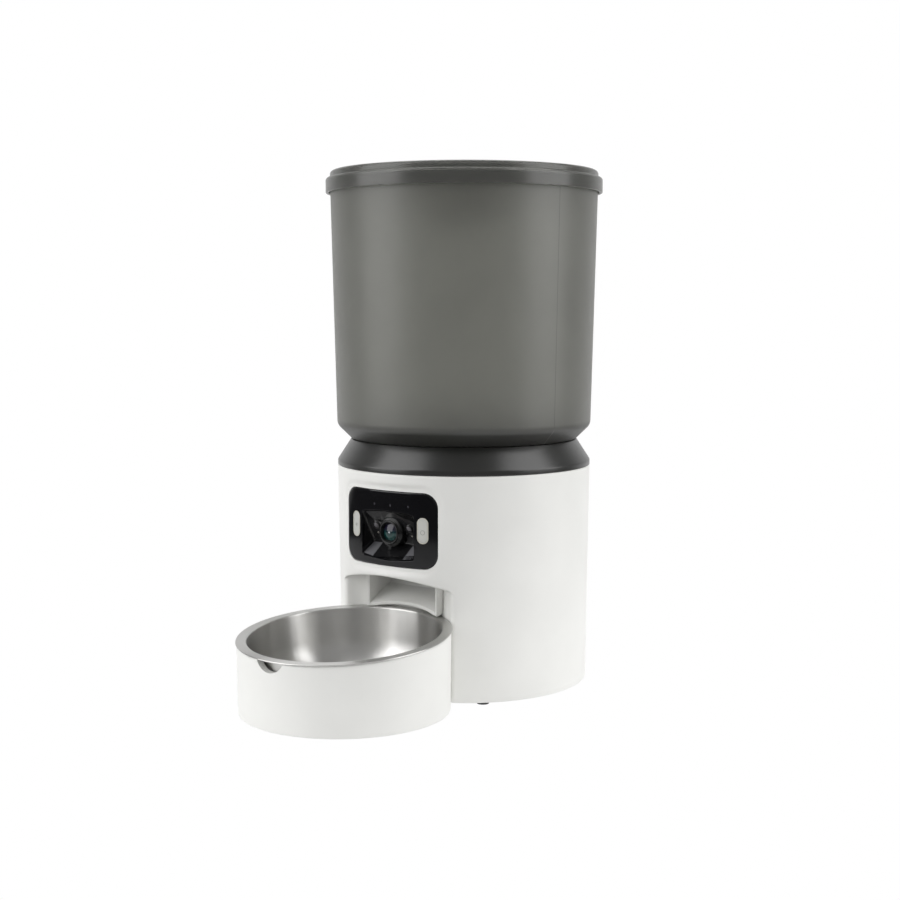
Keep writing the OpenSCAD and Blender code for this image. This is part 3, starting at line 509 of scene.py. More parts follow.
def lathe(outline, matrix, closed=True, segments=288):
    """Points, faces and UV pairs of an outline (radius, height) turned about Z."""
    rings = []
    points = []
    travelled = [0.0]
    for before, after in zip(outline, outline[1:]):
        travelled.append(travelled[-1] + math.dist(before, after))
    for radius, height in outline:
        if radius < 1e-5:
            rings.append([len(points)] * segments)
            points.append(matrix @ Vector((0, 0, height)))
            continue
        rings.append(list(range(len(points), len(points) + segments)))
        for k in range(segments):
            angle = 2 * math.pi * (k + 0.5) / segments + math.pi / 2
            spot = Vector((radius * math.cos(angle), radius * math.sin(angle), height))
            points.append(matrix @ spot)
    faces = []
    uvs = []
    count = len(rings)
    for i in range(count if closed else count - 1):
        low, high = rings[i], rings[(i + 1) % count]
        v0 = travelled[i]
        v1 = v0 + math.dist(outline[i], outline[(i + 1) % count])
        for k in range(segments):
            n = (k + 1) % segments
            u0, u1 = k / segments, (k + 1) / segments
            corners = [(low[k], u0, v0), (low[n], u1, v0), (high[n], u1, v1), (high[k], u0, v1)]
            kept = []
            for corner in corners:
                if corner[0] not in [other[0] for other in kept]:
                    kept.append(corner)
            if len(kept) > 2:
                faces.append([corner[0] for corner in kept])
                uvs.append([(corner[1], corner[2] * MM) for corner in kept])
    return points, faces, uvs


def turned(name, outline, slot, body, nodes, matrix=None, closed=True, segments=288, **more):
    matrix = matrix or Matrix.Translation((0, BODY_Y / MM, 0))
    points, faces, uvs = lathe(outline, matrix, closed, segments)
    piece = mesh_object(name, points, faces)
    layer = piece.data.uv_layers.new(name="UVMap")
    for loop, pair in zip(layer.data, [pair for face in uvs for pair in face]):
        loop.uv = pair
    return finish_piece(piece, slot, body, nodes, **more)


def grid_faces(rows, columns, wrap_rows=False, wrap_columns=False):
    """Quads over a grid of points that are numbered row by row."""
    faces = []
    for i in range(rows if wrap_rows else rows - 1):
        for j in range(columns if wrap_columns else columns - 1):
            i1, j1 = (i + 1) % rows, (j + 1) % columns
            faces.append([i * columns + j, i * columns + j1, i1 * columns + j1, i1 * columns + j])
    return faces


def loft(name, rings):
    """A closed solid through rings that have the same number of points."""
    size = len(rings[0])
    points = [point for ring in rings for point in ring]
    faces = grid_faces(len(rings), size, wrap_columns=True)
    faces.append(list(range(size)))
    faces.append(list(range(len(points) - size, len(points))))
    piece = mesh_object(name, points, faces)
    tidy_mesh(piece.data)
    return piece


def bake_modifiers(piece):
    ready = bpy.context.evaluated_depsgraph_get()
    mesh = bpy.data.meshes.new_from_object(piece.evaluated_get(ready))
    piece.modifiers.clear()
    piece.data = mesh


def carve(piece, cutters):
    for cutter in cutters:
        cut = piece.modifiers.new("cut", "BOOLEAN")
        cut.operation = "DIFFERENCE"
        cut.solver = "EXACT"
        cut.object = cutter
    bake_modifiers(piece)
    for cutter in cutters:
        bpy.data.objects.remove(cutter)


def bevelled(piece, width, segments, angle, miter="MITER_SHARP"):
    """Rounds every edge that turns by more than an angle in degrees."""
    bevel = piece.modifiers.new("round", "BEVEL")
    bevel.width = width * MM
    bevel.segments = segments
    bevel.limit_method = "ANGLE"
    bevel.angle_limit = math.radians(angle)
    bevel.miter_outer = miter
    bake_modifiers(piece)
    return piece


def softened(node, width, body):
    """A CAD node's shape with its edges rounded by width, as a new piece in its place."""
    piece = link_object("soft_" + node, frame["nodes"][node].data.copy())
    maker = bmesh.new()
    maker.from_mesh(piece.data)
    bmesh.ops.remove_doubles(maker, verts=maker.verts, dist=2e-6)
    flat = math.radians(0.5)
    bmesh.ops.dissolve_limit(maker, angle_limit=flat, verts=maker.verts, edges=maker.edges)
    maker.to_mesh(piece.data)
    maker.free()
    bevelled(piece, width, 3, 30, "MITER_ARC")
    return finish_piece(piece, NODE_SLOTS[node], body, [node])


def ahead(x, forward, z):
    """A point across, forward of the body's axis and up, in the CAD frame's millimetres."""
    return Vector((x, BODY_Y / MM - forward, z))


def round_rect(width, height, radius, corner_steps=8, top_steps=1, side_steps=1):
    """A rounded rectangle's outline, anticlockwise from the right side's upper end."""
    radius = max(radius, 0.02)
    across, up = width / 2 - radius, height / 2 - radius
    points = []
    for k, (sx, sy) in enumerate(((1, 1), (-1, 1), (-1, -1), (1, -1))):
        for i in range(corner_steps + 1):
            angle = math.pi / 2 * (k + i / corner_steps)
            x = sx * across + radius * math.cos(angle)
            points.append(Vector((x, sy * up + radius * math.sin(angle))))
        level = k % 2 == 0
        straight = Vector((2 * across, 0) if level else (0, 2 * up))
        steps = top_steps if level else side_steps
        sign = -1 if k < 2 else 1
        start = points[-1]
        for i in range(1, steps):
            points.append(start + straight * (sign * i / steps))
    return points


# ------------------------------------------------------------------ base shell

BASE_LOW_R = 92.9
BASE_TOP_R = box_sizes("main_shell").x / 2
BASE_Z0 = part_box("main_shell")[0].z / MM
BASE_Z1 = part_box("main_shell")[1].z / MM
SHELL_WALL = 2.5
NICHE_R = box_sizes("stand_shell").x / 2 + 1.4
NICHE_CROWN_Z = 91.5
NICHE_ARCH_R = 167.0
NICHE_EDGE_R = 4.0
NICHE_CEILING_R = 1.3
PANEL_W = 83.0
PANEL_H = 53.8
PANEL_T = 1.4
PANEL_CORNER_R = 10.5
PANEL_Z = 126.3
BORDER = 4.5
BORDER_BLEND = 2.8
PANEL_CURVE_R = 116.0
PANEL_FRONT = BODY_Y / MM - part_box("front_panel")[0].y / MM


def base_r(z):
    return BASE_LOW_R + (BASE_TOP_R - BASE_LOW_R) * (z - BASE_Z0) / (BASE_Z1 - BASE_Z0)


def niche_corner(z):
    """Centre (across, forward) of the rounding of the niche's upright edge."""
    near = base_r(z) - NICHE_EDGE_R
    far = NICHE_R + NICHE_EDGE_R
    forward = (near**2 - far**2 + BOWL_REACH**2) / (2 * BOWL_REACH)
    return math.sqrt(near**2 - forward**2), forward


def niche_span(z):
    """Angles from the front at which the upright rounding starts and ends."""
    across, forward = niche_corner(z)
    pull = NICHE_R / (NICHE_R + NICHE_EDGE_R)
    inner = math.atan2(across * pull, BOWL_REACH + (forward - BOWL_REACH) * pull)
    return inner, math.atan2(across, forward)


def niche_wall(angle, z):
    """Distance of the niche's back wall from the body's axis."""
    turn = abs(angle)
    inner, outer = niche_span(z)
    if turn >= outer:
        return base_r(z)
    if turn > inner:
        across, forward = niche_corner(z)
        along = across * math.sin(turn) + forward * math.cos(turn)
        aside = across**2 + forward**2 - along**2
        return along + math.sqrt(max(NICHE_EDGE_R**2 - aside, 0))
    aside = BOWL_REACH * math.sin(turn)
    return BOWL_REACH * math.cos(turn) - math.sqrt(NICHE_R**2 - aside**2)


NICHE_HALF_W = base_r(80) * math.sin(niche_span(80)[1])
NICHE_TOP_CORNER_R = NICHE_HALF_W - 45.05


def niche_top(across):
    """Height of the niche's arched ceiling, with rounded upper corners."""
    centre_x = NICHE_HALF_W - NICHE_TOP_CORNER_R
    arch_z = NICHE_CROWN_Z - NICHE_ARCH_R
    centre_z = arch_z + math.sqrt((NICHE_ARCH_R - NICHE_TOP_CORNER_R) ** 2 - centre_x**2)
    meet = centre_x * NICHE_ARCH_R / (NICHE_ARCH_R - NICHE_TOP_CORNER_R)
    if abs(across) <= meet:
        return arch_z + math.sqrt(NICHE_ARCH_R**2 - across**2)
    past = min(abs(across) - centre_x, NICHE_TOP_CORNER_R)
    return centre_z + math.sqrt(NICHE_TOP_CORNER_R**2 - past**2)


def outline_distance(x, z, width, height, radius):
    """Signed distance of (x, z) from a rounded rectangle round the origin."""
    across = abs(x) - width / 2 + radius
    up = abs(z) - height / 2 + radius
    outside = math.hypot(max(across, 0), max(up, 0))
    return outside + min(max(across, up), 0) - radius


def on_panel(x, proud=0.0):
    """Forward distance of the panel's flatter curve."""
    return PANEL_FRONT - PANEL_CURVE_R + math.sqrt((PANEL_CURVE_R + proud) ** 2 - x * x)


def panel_dip(angle, z):
    """How far the border round the panel lies below the shell's cone."""
    radius = base_r(z)
    far = outline_distance(radius * math.sin(angle), z - PANEL_Z, PANEL_W + 2 * BORDER,
                           PANEL_H + 2 * BORDER, PANEL_CORNER_R + BORDER)
    share = min(max(0.5 - far / BORDER_BLEND, 0), 1)
    centre = PANEL_CURVE_R - PANEL_FRONT
    flatter = math.sqrt(PANEL_CURVE_R**2 - (centre * math.sin(angle)) ** 2)
    flatter -= centre * math.cos(angle)
    return max(radius - flatter, 0) * share * share * (3 - 2 * share)


LOWER_ROWS = 24
CEILING_ROWS = 9
EDGE_ROWS = 5
UPPER_ROWS = 54
LIP_R = 0.6
# Degrees from the front from which the columns stand closer, and how close
FINE_FROM = 28
FINE_STEP = 0.25


def shell_column(angle):
    """Outer and inner profile (radius, height) of the base shell at an angle from the front."""
    outer_angle = niche_span(80)[1]
    in_niche = abs(angle) < outer_angle - 0.003
    front = math.cos(angle) > 0

    def skin(z):
        return base_r(z) - (panel_dip(angle, z) if front else 0)

    if in_niche:
        wall = niche_wall(angle, 70)
        wall_top = niche_top(wall * math.sin(angle))
        edge_top = niche_top(base_r(88) * math.sin(angle))
    else:
        wall = None
        wall_top = edge_top = niche_top(NICHE_HALF_W)

    lower = []
    for i in range(LOWER_ROWS):
        z = BASE_Z0 + LIP_R + (wall_top - BASE_Z0 - LIP_R) * i / (LOWER_ROWS - 1)
        lower.append((niche_wall(angle, z) if in_niche else base_r(z), z))
    middle = []
    if in_niche:
        depth = base_r(edge_top) - wall
        edge_r = min(NICHE_CEILING_R, depth / 3)
        for i in range(1, CEILING_ROWS + 1):
            radius = wall + (depth - edge_r) * i / CEILING_ROWS
            middle.append((radius, niche_top(radius * math.sin(angle))))
        for i in range(1, EDGE_ROWS + 1):
            turn = math.pi / 2 * i / EDGE_ROWS
            radius = wall + depth - edge_r + edge_r * math.sin(turn)
            middle.append((radius, edge_top + edge_r - edge_r * math.cos(turn)))
        upper_from = edge_top + edge_r
    else:
        for i in range(1, CEILING_ROWS + EDGE_ROWS + 1):
            z = wall_top + 0.5 * i
            middle.append((base_r(z), z))
        upper_from = wall_top + 0.5 * (CEILING_ROWS + EDGE_ROWS)
    upper = []
    for i in range(1, UPPER_ROWS + 1):
        z = upper_from + (BASE_Z1 - LIP_R - upper_from) * i / UPPER_ROWS
        upper.append((skin(z), z))
    bottom = [(lower[0][0] - LIP_R, BASE_Z0), (lower[0][0] - LIP_R * 0.3, BASE_Z0 + LIP_R * 0.3)]
    top = [(BASE_TOP_R - LIP_R * 0.3, BASE_Z1 - LIP_R * 0.3), (BASE_TOP_R - LIP_R, BASE_Z1)]
    outside = bottom + lower + middle + upper + top
    inside = [(BASE_TOP_R - SHELL_WALL, BASE_Z1)]
    for i in range(19, 0, -1):
        z = upper_from + SHELL_WALL + (BASE_Z1 - upper_from - SHELL_WALL) * i / 20
        inside.append((skin(z) - SHELL_WALL, z))
    inside.append((base_r(edge_top) - SHELL_WALL, edge_top + SHELL_WALL))
    if in_niche:
        inside.append((wall - SHELL_WALL, wall_top + SHELL_WALL))
    else:
        inside.append((base_r(wall_top) - SHELL_WALL, wall_top))
    inside.append((lower[0][0] - SHELL_WALL, BASE_Z0))
    return outside + inside


def shell_angles():
    """Column angles, close together where the niche's edge turns."""
    outer = math.degrees(niche_span(80)[1])
    half = list(range(FINE_FROM))
    half += [FINE_FROM + FINE_STEP * i for i in range(int((outer - FINE_FROM) / FINE_STEP))]
    half += [outer - 0.15, outer + 0.4]
    half += list(range(int(outer) + 2, 181))
    other_half = [-turn for turn in reversed(half[1:-1])]
    return [math.radians(turn) for turn in other_half + half]


def polygon_cutter(name, outline, reach):
    """A cutter with an outline (across, up) that runs from one forward distance to another."""
    return loft(name, [[ahead(x, forward, z) for x, z in outline] for forward in reach])


def disc(radius, steps=48):
    turns = [2 * math.pi * k / steps for k in range(steps)]
    return [(radius * math.cos(turn), radius * math.sin(turn)) for turn in turns]


def chute_cutter():
    """The opening of the chute, through sections (forward, half width, low and high Z)."""
    sections = [(84.0, 32.2, 58.7, 87.3), (62.7, 35.2, 67.8, 87.3), (62.7, 35.5, 67.8, 100.0),
                (46.0, 35.5, 75.4, 100.0)]
    rings = [
        [ahead(half, f, z0), ahead(half, f, z1), ahead(-half, f, z1), ahead(-half, f, z0)]
        for f, half, z0, z1 in sections
    ]
    return loft("chute_cutter", rings)


# Forward distances between which a cutter goes through the wall
FRONT_WALL = (70, 110)
BACK_WALL = (-70, -110)
JACK_Z = 20.0
JACK_HOLE_R = 5.2
BUTTON_Z = 140.0
BUTTON_HOLE_R = 7.3
SPEAKER_Z = 95.0


def add_main_shell():
    columns = [shell_column(angle) for angle in shell_angles()]
    points = []
    for angle, column in zip(shell_angles(), columns):
        for radius, z in column:
            points.append(ahead(radius * math.sin(angle), radius * math.cos(angle), z))
    faces = grid_faces(len(columns), len(columns[0]), wrap_rows=True, wrap_columns=True)
    shell = mesh_object("base_casing", points, faces)
    tidy_mesh(shell.data)
    panel = [(p.x, p.y + PANEL_Z) for p in round_rect(PANEL_W + 0.6, PANEL_H + 0.6, PANEL_CORNER_R)]
    slot = [(p.x, p.y + SPEAKER_Z) for p in round_rect(1.6, 16, 0.8)]
    cutters = [chute_cutter(), polygon_cutter("panel_cutter", panel, FRONT_WALL)]
    for i in range(-3, 4):
        moved = [(x + 4 * i, z) for x, z in slot]
        cutters.append(polygon_cutter("slot_cutter", moved, BACK_WALL))
    for radius, z in ((BUTTON_HOLE_R, BUTTON_Z), (JACK_HOLE_R, JACK_Z)):
        ring = [(x, y + z) for x, y in disc(radius)]
        cutters.append(polygon_cutter("hole_cutter", ring, BACK_WALL))
    carve(shell, cutters)
    return finish_piece(shell, "white_plastic", "base", ["main_shell"], sharp=40)


# ------------------------------------------------------------------ neck, hopper and lid

NECK_TOP_R = 84.9
NECK_BAND_Z = 169.5
NECK_TOP_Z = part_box("neck_ring")[1].z / MM
HOPPER_LOW_R = 95.3
HOPPER_TOP_R = box_sizes("hopper_shell").x / 2
HOPPER_RIM_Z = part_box("hopper_shell")[1].z / MM
HOPPER_FOOT_Z = NECK_TOP_Z + 0.6
CHAMFER_TOP_Z = HOPPER_FOOT_Z + 11.4
HOPPER_WALL = 2.2
OUTLET_R = 56.3
OUTLET_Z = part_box("hopper_shell")[0].z / MM
LID_R = box_sizes("lid_shell").x / 2
LID_TOP_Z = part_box("lid_shell")[1].z / MM
SKIRT_Z = HOPPER_RIM_Z - 9


def add_neck():
    top = NECK_TOP_Z
    spigot = 92.3
    outline = rounded([
        (spigot, BASE_Z1 - 5, 0.5), (spigot, BASE_Z1 + 0.1, 0.2), (BASE_TOP_R, BASE_Z1 + 0.1, 0.35),
        (BASE_TOP_R, NECK_BAND_Z, 2.2), (NECK_TOP_R, top, 0.7), (79.5, top, 0.3),
        (79.5, top - 2.4, 0.2), (NECK_TOP_R - 2.6, top - 2.4, 0.6), (BASE_TOP_R - 3.6, 171, 1),
        (63, 171, 0.5), (63, 168.5, 0.3), (spigot - 2, 168.5, 0.5), (spigot - 2, BASE_Z1 - 5, 0.5),
    ], steps=5)
    return turned("neck", outline, "neck_plastic", "base", ["neck_ring"])


def add_hopper():
    corner_up = CHAMFER_TOP_Z + 2
    outline = rounded([
        (OUTLET_R, OUTLET_Z, 0.6), (OUTLET_R + 2.2, OUTLET_Z, 0.6), (OUTLET_R + 2.2, 175.5, 2),
        (76.8, 183.2, 0.5), (76.8, 178.5, 0.4), (79.2, 178.5, 0.4), (79.2, HOPPER_FOOT_Z, 0.2),
        (NECK_TOP_R, HOPPER_FOOT_Z, 0.5), (HOPPER_LOW_R, corner_up - 3.2, 7.5),
        (HOPPER_TOP_R, HOPPER_RIM_Z, 0.8), (HOPPER_TOP_R - HOPPER_WALL, HOPPER_RIM_Z, 0.5),
        (HOPPER_LOW_R - HOPPER_WALL, corner_up - 2, 7), (NECK_TOP_R - 0.9, HOPPER_FOOT_Z + 3.2, 4),
        (OUTLET_R, 177.8, 2),
    ], steps=8)
    tall = []
    for here, there in zip(outline, outline[1:] + outline[:1]):
        pieces = max(1, round(math.dist(here, there) / 12))
        tall += [here.lerp(there, k / pieces) for k in range(pieces)]
    return turned("hopper", tall, "smoke_plastic", "hopper", ["hopper_shell"])


def add_lid():
    inner = LID_R - 2.2
    step = LID_R - 3.2
    low = SKIRT_Z
    rim = HOPPER_RIM_Z
    outline = rounded([
        (inner, low, 0.4), (LID_R, low, 0.6), (LID_R, rim + 1.6, 3.0), (step, rim + 2.2, 0.5),
        (step, LID_TOP_Z, 4.0), (36, LID_TOP_Z, 2.5), (34, LID_TOP_Z - 0.8, 2.5),
        (0, LID_TOP_Z - 0.8, 0), (0, LID_TOP_Z - 3.2, 0), (33, LID_TOP_Z - 3.2, 0),
        (93.4, LID_TOP_Z - 2.4, 0), (93.4, rim - 5.5, 0.4), (95.6, rim - 5.5, 0.4),
        (95.6, rim + 0.4, 0.2), (inner, rim + 0.4, 0.4),
    ], steps=7)
    start = next(k for k, point in enumerate(outline) if point.x < 1e-6)
    opened = outline[start + 1:] + outline[:start + 1]
    return turned("lid", opened, "smoke_plastic", "lid", ["lid_shell"], closed=False,
                  finish="lid_plastic")


# ------------------------------------------------------------------ bowl and stand

BOWL_TILT = math.radians(4.3)
BOWL_RIM_Z = 58.4
BOWL_RIM_R = box_sizes("bowl").x / 2
BOWL_MOUTH_R = 67.6
BOWL_DEPTH = 44.0
BOWL_BEND_R = 40.0
BOWL_SHEET = 0.8
FLANGE_T = 1.0
STAND_R = box_sizes("stand_shell").x / 2
STAND_NOTCH_R = 13.3
STAND_NOTCH_Z = 57.7
BOWL_FRAME = Matrix.Translation((0, BOWL_Y / MM, BOWL_RIM_Z)) @ Matrix.Rotation(BOWL_TILT, 4, "X")


def add_bowl():
    mouth, sheet = BOWL_MOUTH_R, BOWL_SHEET
    floor = -BOWL_DEPTH
    lip = FLANGE_T / 2
    inside = rounded([
        (0, floor, 0), (mouth - 0.4, floor, BOWL_BEND_R), (mouth, 0, 1.3),
        (BOWL_RIM_R, 0, lip), (BOWL_RIM_R, -FLANGE_T, lip), (mouth + sheet, -FLANGE_T, 0.6),
        (mouth + sheet - 0.3, floor - sheet, BOWL_BEND_R + sheet), (0, floor - sheet, 0),
    ], closed=False, steps=18)
    return turned("feeding_bowl", inside, "bowl_steel", "bowl", ["bowl"], BOWL_FRAME,
                  closed=False, segments=360)


def add_stand():
    """A round wall whose top follows the bowl's tilted flange, with a finger notch in front."""
    segments = 360
    base_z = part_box("stand_shell")[0].z / MM
    floor_z = base_z + 2.5
    low_r = STAND_R - 0.5
    seat = 69.2
    wall = 71.6
    edge = 1.1
    points = []
    columns = []
    for k in range(segments):
        angle = 2 * math.pi * k / segments
        across, back = math.cos(angle), math.sin(angle)

        def top(radius):
            rim = BOWL_RIM_Z - (FLANGE_T + 0.1) / math.cos(BOWL_TILT)
            return rim + radius * back * math.tan(BOWL_TILT)

        column = [
            (low_r - edge, base_z), (low_r - edge * 0.3, base_z + edge * 0.3),
            (low_r, base_z + edge),
        ]
        for i in range(1, 30):
            share = i / 29
            z = base_z + edge + (top(STAND_R) - edge - base_z - edge) * share
            column.append((low_r + 0.5 * share, z))
        column += [
            (STAND_R - edge * 0.3, top(STAND_R) - edge * 0.3), (STAND_R - edge, top(STAND_R)),
            (seat + 0.5, top(seat + 0.5)), (seat, top(seat) - 0.5), (seat, top(seat) - 14),
            (wall, top(wall) - 14.5),
        ]
        for share in (0.75, 0.5, 0.25, 0):
            column.append((wall, floor_z + (top(wall) - 17 - base_z) * share))
        column += [(40, floor_z), (10, floor_z), (10, base_z), (40, base_z)]
        columns.append(column)
        for radius, z in column:
            points.append(Vector((radius * across, BOWL_Y / MM + radius * back, z)))
    faces = grid_faces(segments, len(columns[0]), wrap_rows=True, wrap_columns=True)
    stand = mesh_object("bowl_stand", points, faces)
    tidy_mesh(stand.data)
    notch = [(x, y + STAND_NOTCH_Z) for x, y in disc(STAND_NOTCH_R, 72)]
    carve(stand, [polygon_cutter("notch_cutter", notch, (BOWL_REACH + 50, BOWL_REACH + 90))])
    return finish_piece(stand, "stand_plastic", "stand", ["stand_shell"], sharp=40)


# ------------------------------------------------------------------ camera panel

POCKET_FRONT = 96.0
POCKET_FRONT_HALF = 25.1
POCKET_LOW_FRONT_Z = 100.2
POCKET_BACK = 77.6
POCKET_BACK_HALF = 22.3
POCKET_LOW_BACK_Z = 113.6
POCKET_TOP = 89.6
POCKET_TOP_Z = 138.6
POCKET_LEAN = math.atan2(POCKET_TOP - POCKET_BACK, POCKET_TOP_Z - POCKET_LOW_BACK_Z)
POCKET_ARCH = 1.8
POCKET_EDGE_R = 1.4
POCKET_WALL = 1.6
LENS_Z = LENS_CENTRE.z / MM
BARREL_R = box_sizes("lens_ring").x / 2
WINDOW_X = 30.8
WINDOW_W = 8.4
WINDOW_H = 18.6
WINDOW_Z = PANEL_Z + 0.3
LIGHT_HOLE_R = 0.68
LIGHT_PITCH = 15.0
LIGHT_OFFSET = 4.6
LIGHT_Z = 143.2


def panel_ring(width, height, radius, centre_x, centre_z, lift, steps):
    """A rounded rectangle on the panel's curve, lifted off it."""
    return [
        ahead(centre_x + p.x, on_panel(centre_x + p.x, lift), centre_z + p.y)
        for p in round_rect(width, height, radius, *steps)
    ]


def curved_slab(name, width, height, radius, centre_x, centre_z, proud, depth, edge_r, steps):
    """A slab that follows the panel's curve, with a rounded front edge."""
    layers = [(0.0, proud - depth)]
    for k in range(5):
        turn = math.pi / 2 * k / 4
        layers.append((edge_r * (1 - math.cos(turn)), proud - edge_r * (1 - math.sin(turn))))
    shrink = min(width, height) / 2
    for share in (0.01, 0.12, 0.25, 0.4, 0.55, 0.7, 0.85, 1):
        layers.append((edge_r + (shrink - 0.3 - edge_r) * share, proud))
    rings = []
    for inset, lift in layers:
        rings.append(panel_ring(width - 2 * inset, height - 2 * inset, radius - inset, centre_x,
                                centre_z, lift, steps))
    return loft(name, rings)


def pocket_wedge(name, grow, steps=24):
    """The wedge-shaped recess: its back wall leans forward up to the panel's surface."""
    rings = []
    for i in range(steps + 1):
        side = 2 * i / steps - 1
        arch = -POCKET_ARCH * side * side
        lean = arch * math.tan(POCKET_LEAN)
        outline = [
            (POCKET_BACK - 1.5 * grow, POCKET_LOW_BACK_Z - grow),
            (POCKET_FRONT, POCKET_LOW_FRONT_Z - grow),
            (POCKET_FRONT, POCKET_TOP_Z + 1 + arch + grow),
            (POCKET_TOP + lean - grow, POCKET_TOP_Z + arch + grow),
        ]
        ring = []
        for forward, z in outline:
            share = (forward - POCKET_BACK) / (POCKET_FRONT - POCKET_BACK)
            half = POCKET_BACK_HALF + (POCKET_FRONT_HALF - POCKET_BACK_HALF) * share + grow
            ring.append(ahead(side * half, forward, z))
        rings.append(ring)
    return loft(name, rings)


def pocket_cutter():
    return bevelled(pocket_wedge("pocket_cutter", 0), POCKET_EDGE_R, 5, 32)


def in_front_of_panel(proud):
    """A cutter for all that stands before the panel's curve, lifted by proud."""
    rings = []
    for i in range(31):
        x = -45 + 3 * i
        near = on_panel(x, proud)
        rings.append([ahead(x, f, z) for f, z in ((near, 90), (115, 90), (115, 160), (near, 160))])
    return loft("front_cutter", rings)


def add_panel():
    panel = curved_slab("camera_window", PANEL_W, PANEL_H, PANEL_CORNER_R, 0, PANEL_Z, 0.0,
                        PANEL_T, 0.7, (10, 28, 16))
    cutters = [pocket_cutter()]
    window = round_rect(WINDOW_W, WINDOW_H, WINDOW_W / 2, 12)
    for side in (-1, 1):
        outline = [(p.x + side * WINDOW_X, p.y + WINDOW_Z) for p in window]
        cutters.append(polygon_cutter("window_cutter", outline, FRONT_WALL))
    for i in (-1, 0, 1):
        centre_x = LIGHT_OFFSET + LIGHT_PITCH * i
        hole = [(x + centre_x, z + LIGHT_Z) for x, z in disc(LIGHT_HOLE_R, 24)]
        cutters.append(polygon_cutter("dot_cutter", hole, FRONT_WALL))
    carve(panel, cutters)
    return finish_piece(panel, "panel_black", "base", ["front_panel"], sharp=30)


def add_pocket():
    cup = pocket_wedge("camera_cup", POCKET_WALL)
    barrel = [(x, z + LENS_Z) for x, z in disc(BARREL_R + 0.35, 96)]
    through = polygon_cutter("barrel_cutter", barrel, (60, 94))
    carve(cup, [in_front_of_panel(-PANEL_T), pocket_cutter(), through])
    return finish_piece(cup, "pocket_black", "base", ["camera_pocket"], sharp=30)


def add_windows():
    """Two light capsules, each in a thin bright rim and with a small moulded mark."""
    windows = []
    rims = []
    for side in (-1, 1):
        windows.append(curved_slab("window", WINDOW_W - 1.3, WINDOW_H - 1.3, WINDOW_W / 2 - 0.66,
                                   side * WINDOW_X, WINDOW_Z, 0.1, 2.2, 0.5, (12, 1, 8)))
        rims.append(window_rim(side * WINDOW_X))
    finish_piece(join(windows), "diffuser", "base", ["side_windows"])
    finish_piece(join(rims), "diffuser", "base", finish="window_rim")
    ring = rounded([(1.35, 0, 0), (1.35, 0.12, 0.05), (1.75, 0.12, 0.05), (1.75, 0, 0)], steps=2)
    mark = plain_lathe("ring_mark", ring + ring[:1], on_window(1, WINDOW_Z - 1.2), segments=40)
    finish_piece(mark, "diffuser", "base", finish="window_mark")
    outline = round_rect(0.35, 3.2, 0.17, 4)
    rays = []
    for k in range(3):
        turn = on_window(-1, WINDOW_Z - 0.6) @ Matrix.Rotation(math.pi / 3 * k, 4, "Z")
        rings = [[turn @ Vector((p.x, p.y, lift)) for p in outline] for lift in (-0.2, 0.12)]
        rays.append(loft("ray", rings))
    finish_piece(join(rays), "diffuser", "base", finish="window_mark")


def on_window(side, z):
    """A place on a window's middle line, with Z pointing out of the panel."""
    spot = Matrix.Translation(ahead(side * WINDOW_X, on_panel(WINDOW_X, 0.05), z))
    facing = Matrix.Rotation(side * math.asin(WINDOW_X / PANEL_CURVE_R), 4, "Z")
    return spot @ facing @ Matrix.Rotation(math.pi / 2, 4, "X")


def window_rim(centre_x):
    """A rounded bead that runs round one window on the panel's curve."""
    rings = []
    for inset, lift in ((0.05, -1.2), (0.05, 0.08), (0.17, 0.17), (0.45, 0.17), (0.57, 0.08),
                        (0.57, -1.2)):
        radius = WINDOW_W / 2 - inset - 0.01
        rings.append(panel_ring(WINDOW_W - 2 * inset, WINDOW_H - 2 * inset, radius, centre_x,
                                WINDOW_Z, lift, (12, 1, 8)))
    points = [point for ring in rings for point in ring]
    faces = grid_faces(len(rings), len(rings[0]), wrap_rows=True, wrap_columns=True)
    return mesh_object("window_rim", points, faces)


def join(pieces):
    """One piece from several; it is the first of them."""
    maker = bmesh.new()
    for piece in pieces:
        maker.from_mesh(piece.data)
    maker.to_mesh(pieces[0].data)
    maker.free()
    for piece in pieces[1:]:
        bpy.data.objects.remove(piece)
    return pieces[0]


def plain_lathe(name, outline, matrix, segments=64):
    points, faces, _ = lathe(outline, matrix, closed=False, segments=segments)
    return mesh_object(name, points, faces)


def on_pocket_back(x, z):
    """A place on the pocket's back wall, with Z pointing out of the wall."""
    forward = POCKET_BACK + (z - POCKET_LOW_BACK_Z) * math.tan(POCKET_LEAN)
    turn = Matrix.Rotation(math.pi / 2 + POCKET_LEAN, 4, "X")
    return Matrix.Translation(ahead(x, forward, z)) @ turn


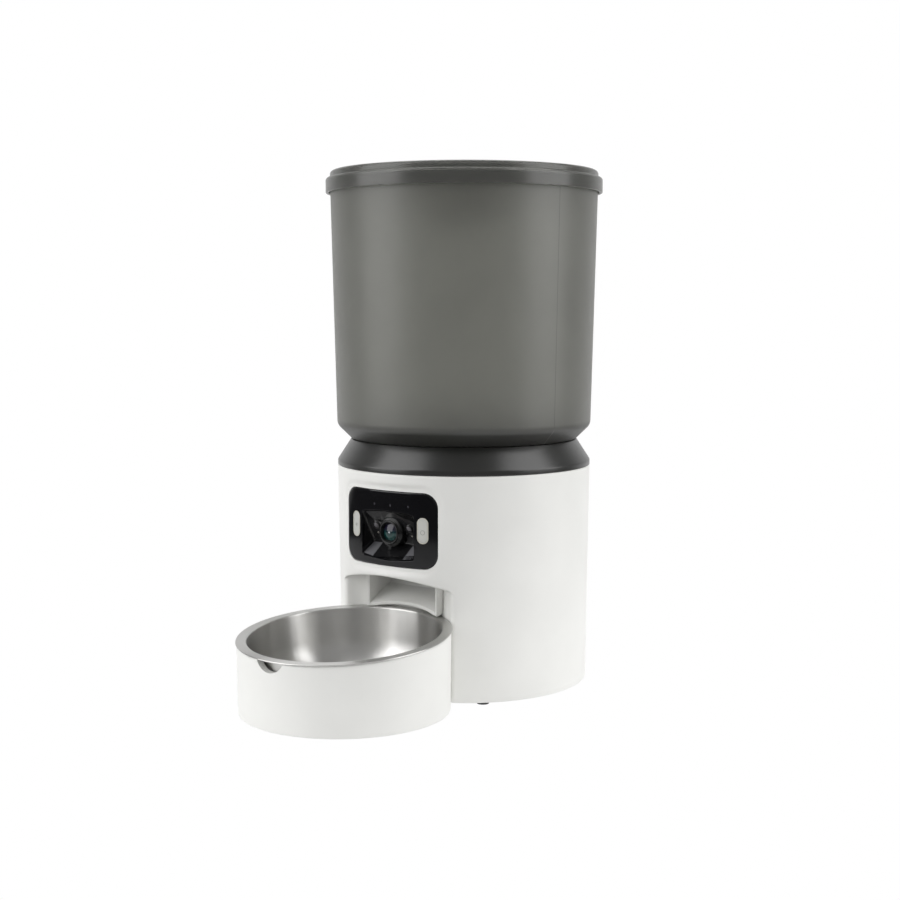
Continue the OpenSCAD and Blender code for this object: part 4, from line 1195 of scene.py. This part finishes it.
def add_infrared_leds():
    """Low domes in raised dark sockets, with a small lamp below each."""
    dome = [Vector((2.3 * k / 8, math.sqrt(9 - (2.3 * k / 8) ** 2) - 1.6)) for k in range(9)]
    dome += [Vector((2.3, 0.0)), Vector((0, 0.0))]
    socket = rounded([(2.35, 0, 0), (2.35, 0.9, 0.15), (3.0, 0.9, 0.2), (3.5, 0, 0)], closed=False,
                     steps=3)
    lamp = [Vector((0, 0.7)), Vector((0.4, 0.6)), Vector((0.65, 0.4)), Vector((0.75, 0.0)),
            Vector((0, 0))]
    for name, outline, x, z, nodes, finish in (
        ("led_dome", dome, 15.2, 126.4, ["infrared_leds"], "led_resin"),
        ("led_socket", socket + socket[:1], 15.2, 126.4, None, "barrel_black"),
        ("led_lamp", lamp, 15.8, 120.6, None, "led_chip"),
    ):
        pair = [plain_lathe(name, outline, on_pocket_back(side * x, z)) for side in (-1, 1)]
        finish_piece(join(pair), "led_resin", "base", nodes, finish=finish)


def add_camera_parts():
    along = Matrix.Translation((0, BODY_Y / MM, LENS_Z)) @ Matrix.Rotation(math.pi / 2, 4, "X")
    barrel = rounded([
        (8.2, 71, 0), (8.2, 85.5, 0.2), (10.5, 85.5, 0.5), (10.5, 71.6, 0.3), (12.5, 71.6, 0.3),
        (12.5, 68.6, 0.3), (6.0, 68.6, 0.2), (6.0, 71, 0.2),
    ], steps=4)
    turned("barrel", barrel, "barrel_black", "base", ["camera_barrel"], along, segments=128)
    ring = rounded([
        (6.6, 86.5, 0.1), (8.1, 84.0, 0.1), (8.1, 85.5, 0.1), (10.5, 85.52, 0.1),
        (10.5, 86.2, 0.15), (10.0, 86.3, 0.1), (10.0, 86.9, 0.15), (9.4, 87.0, 0.1),
        (9.4, 87.6, 0.2), (8.8, 87.8, 0.1), (8.5, 88.8, 0.3), (7.5, 88.8, 0.25), (7.1, 87.6, 0.2),
    ], steps=4)
    turned("lens_surround", ring, "barrel_black", "base", ["lens_ring"], along, segments=128)
    cap = 14.0
    rim = 6.5
    crown = 86.4 - math.sqrt(cap * cap - rim * rim)
    bend = math.asin(rim / cap)
    dome = [Vector((cap * math.sin(bend * k / 12), crown + cap * math.cos(bend * k / 12)))
            for k in range(13)]
    outline = dome + [Vector((rim, 84.2)), Vector((0, 84.2))]
    turned("lens_front", outline, "lens_glass", "base", ["camera_lens"], along, closed=False,
           segments=128)


# ------------------------------------------------------------------ chute and small parts


def add_small_parts():
    softened("chute", 0.8, "base")
    softened("feed_button", 0.6, "feed_button")
    softened("battery_door", 0.4, "battery_door")
    softened("base_feet", 0.4, "base")
    softened("stand_feet", 0.4, "stand")


add_main_shell()
add_neck()
add_hopper()
add_lid()
add_bowl()
add_stand()
add_panel()
add_pocket()
add_windows()
add_infrared_leds()
add_camera_parts()
add_small_parts()
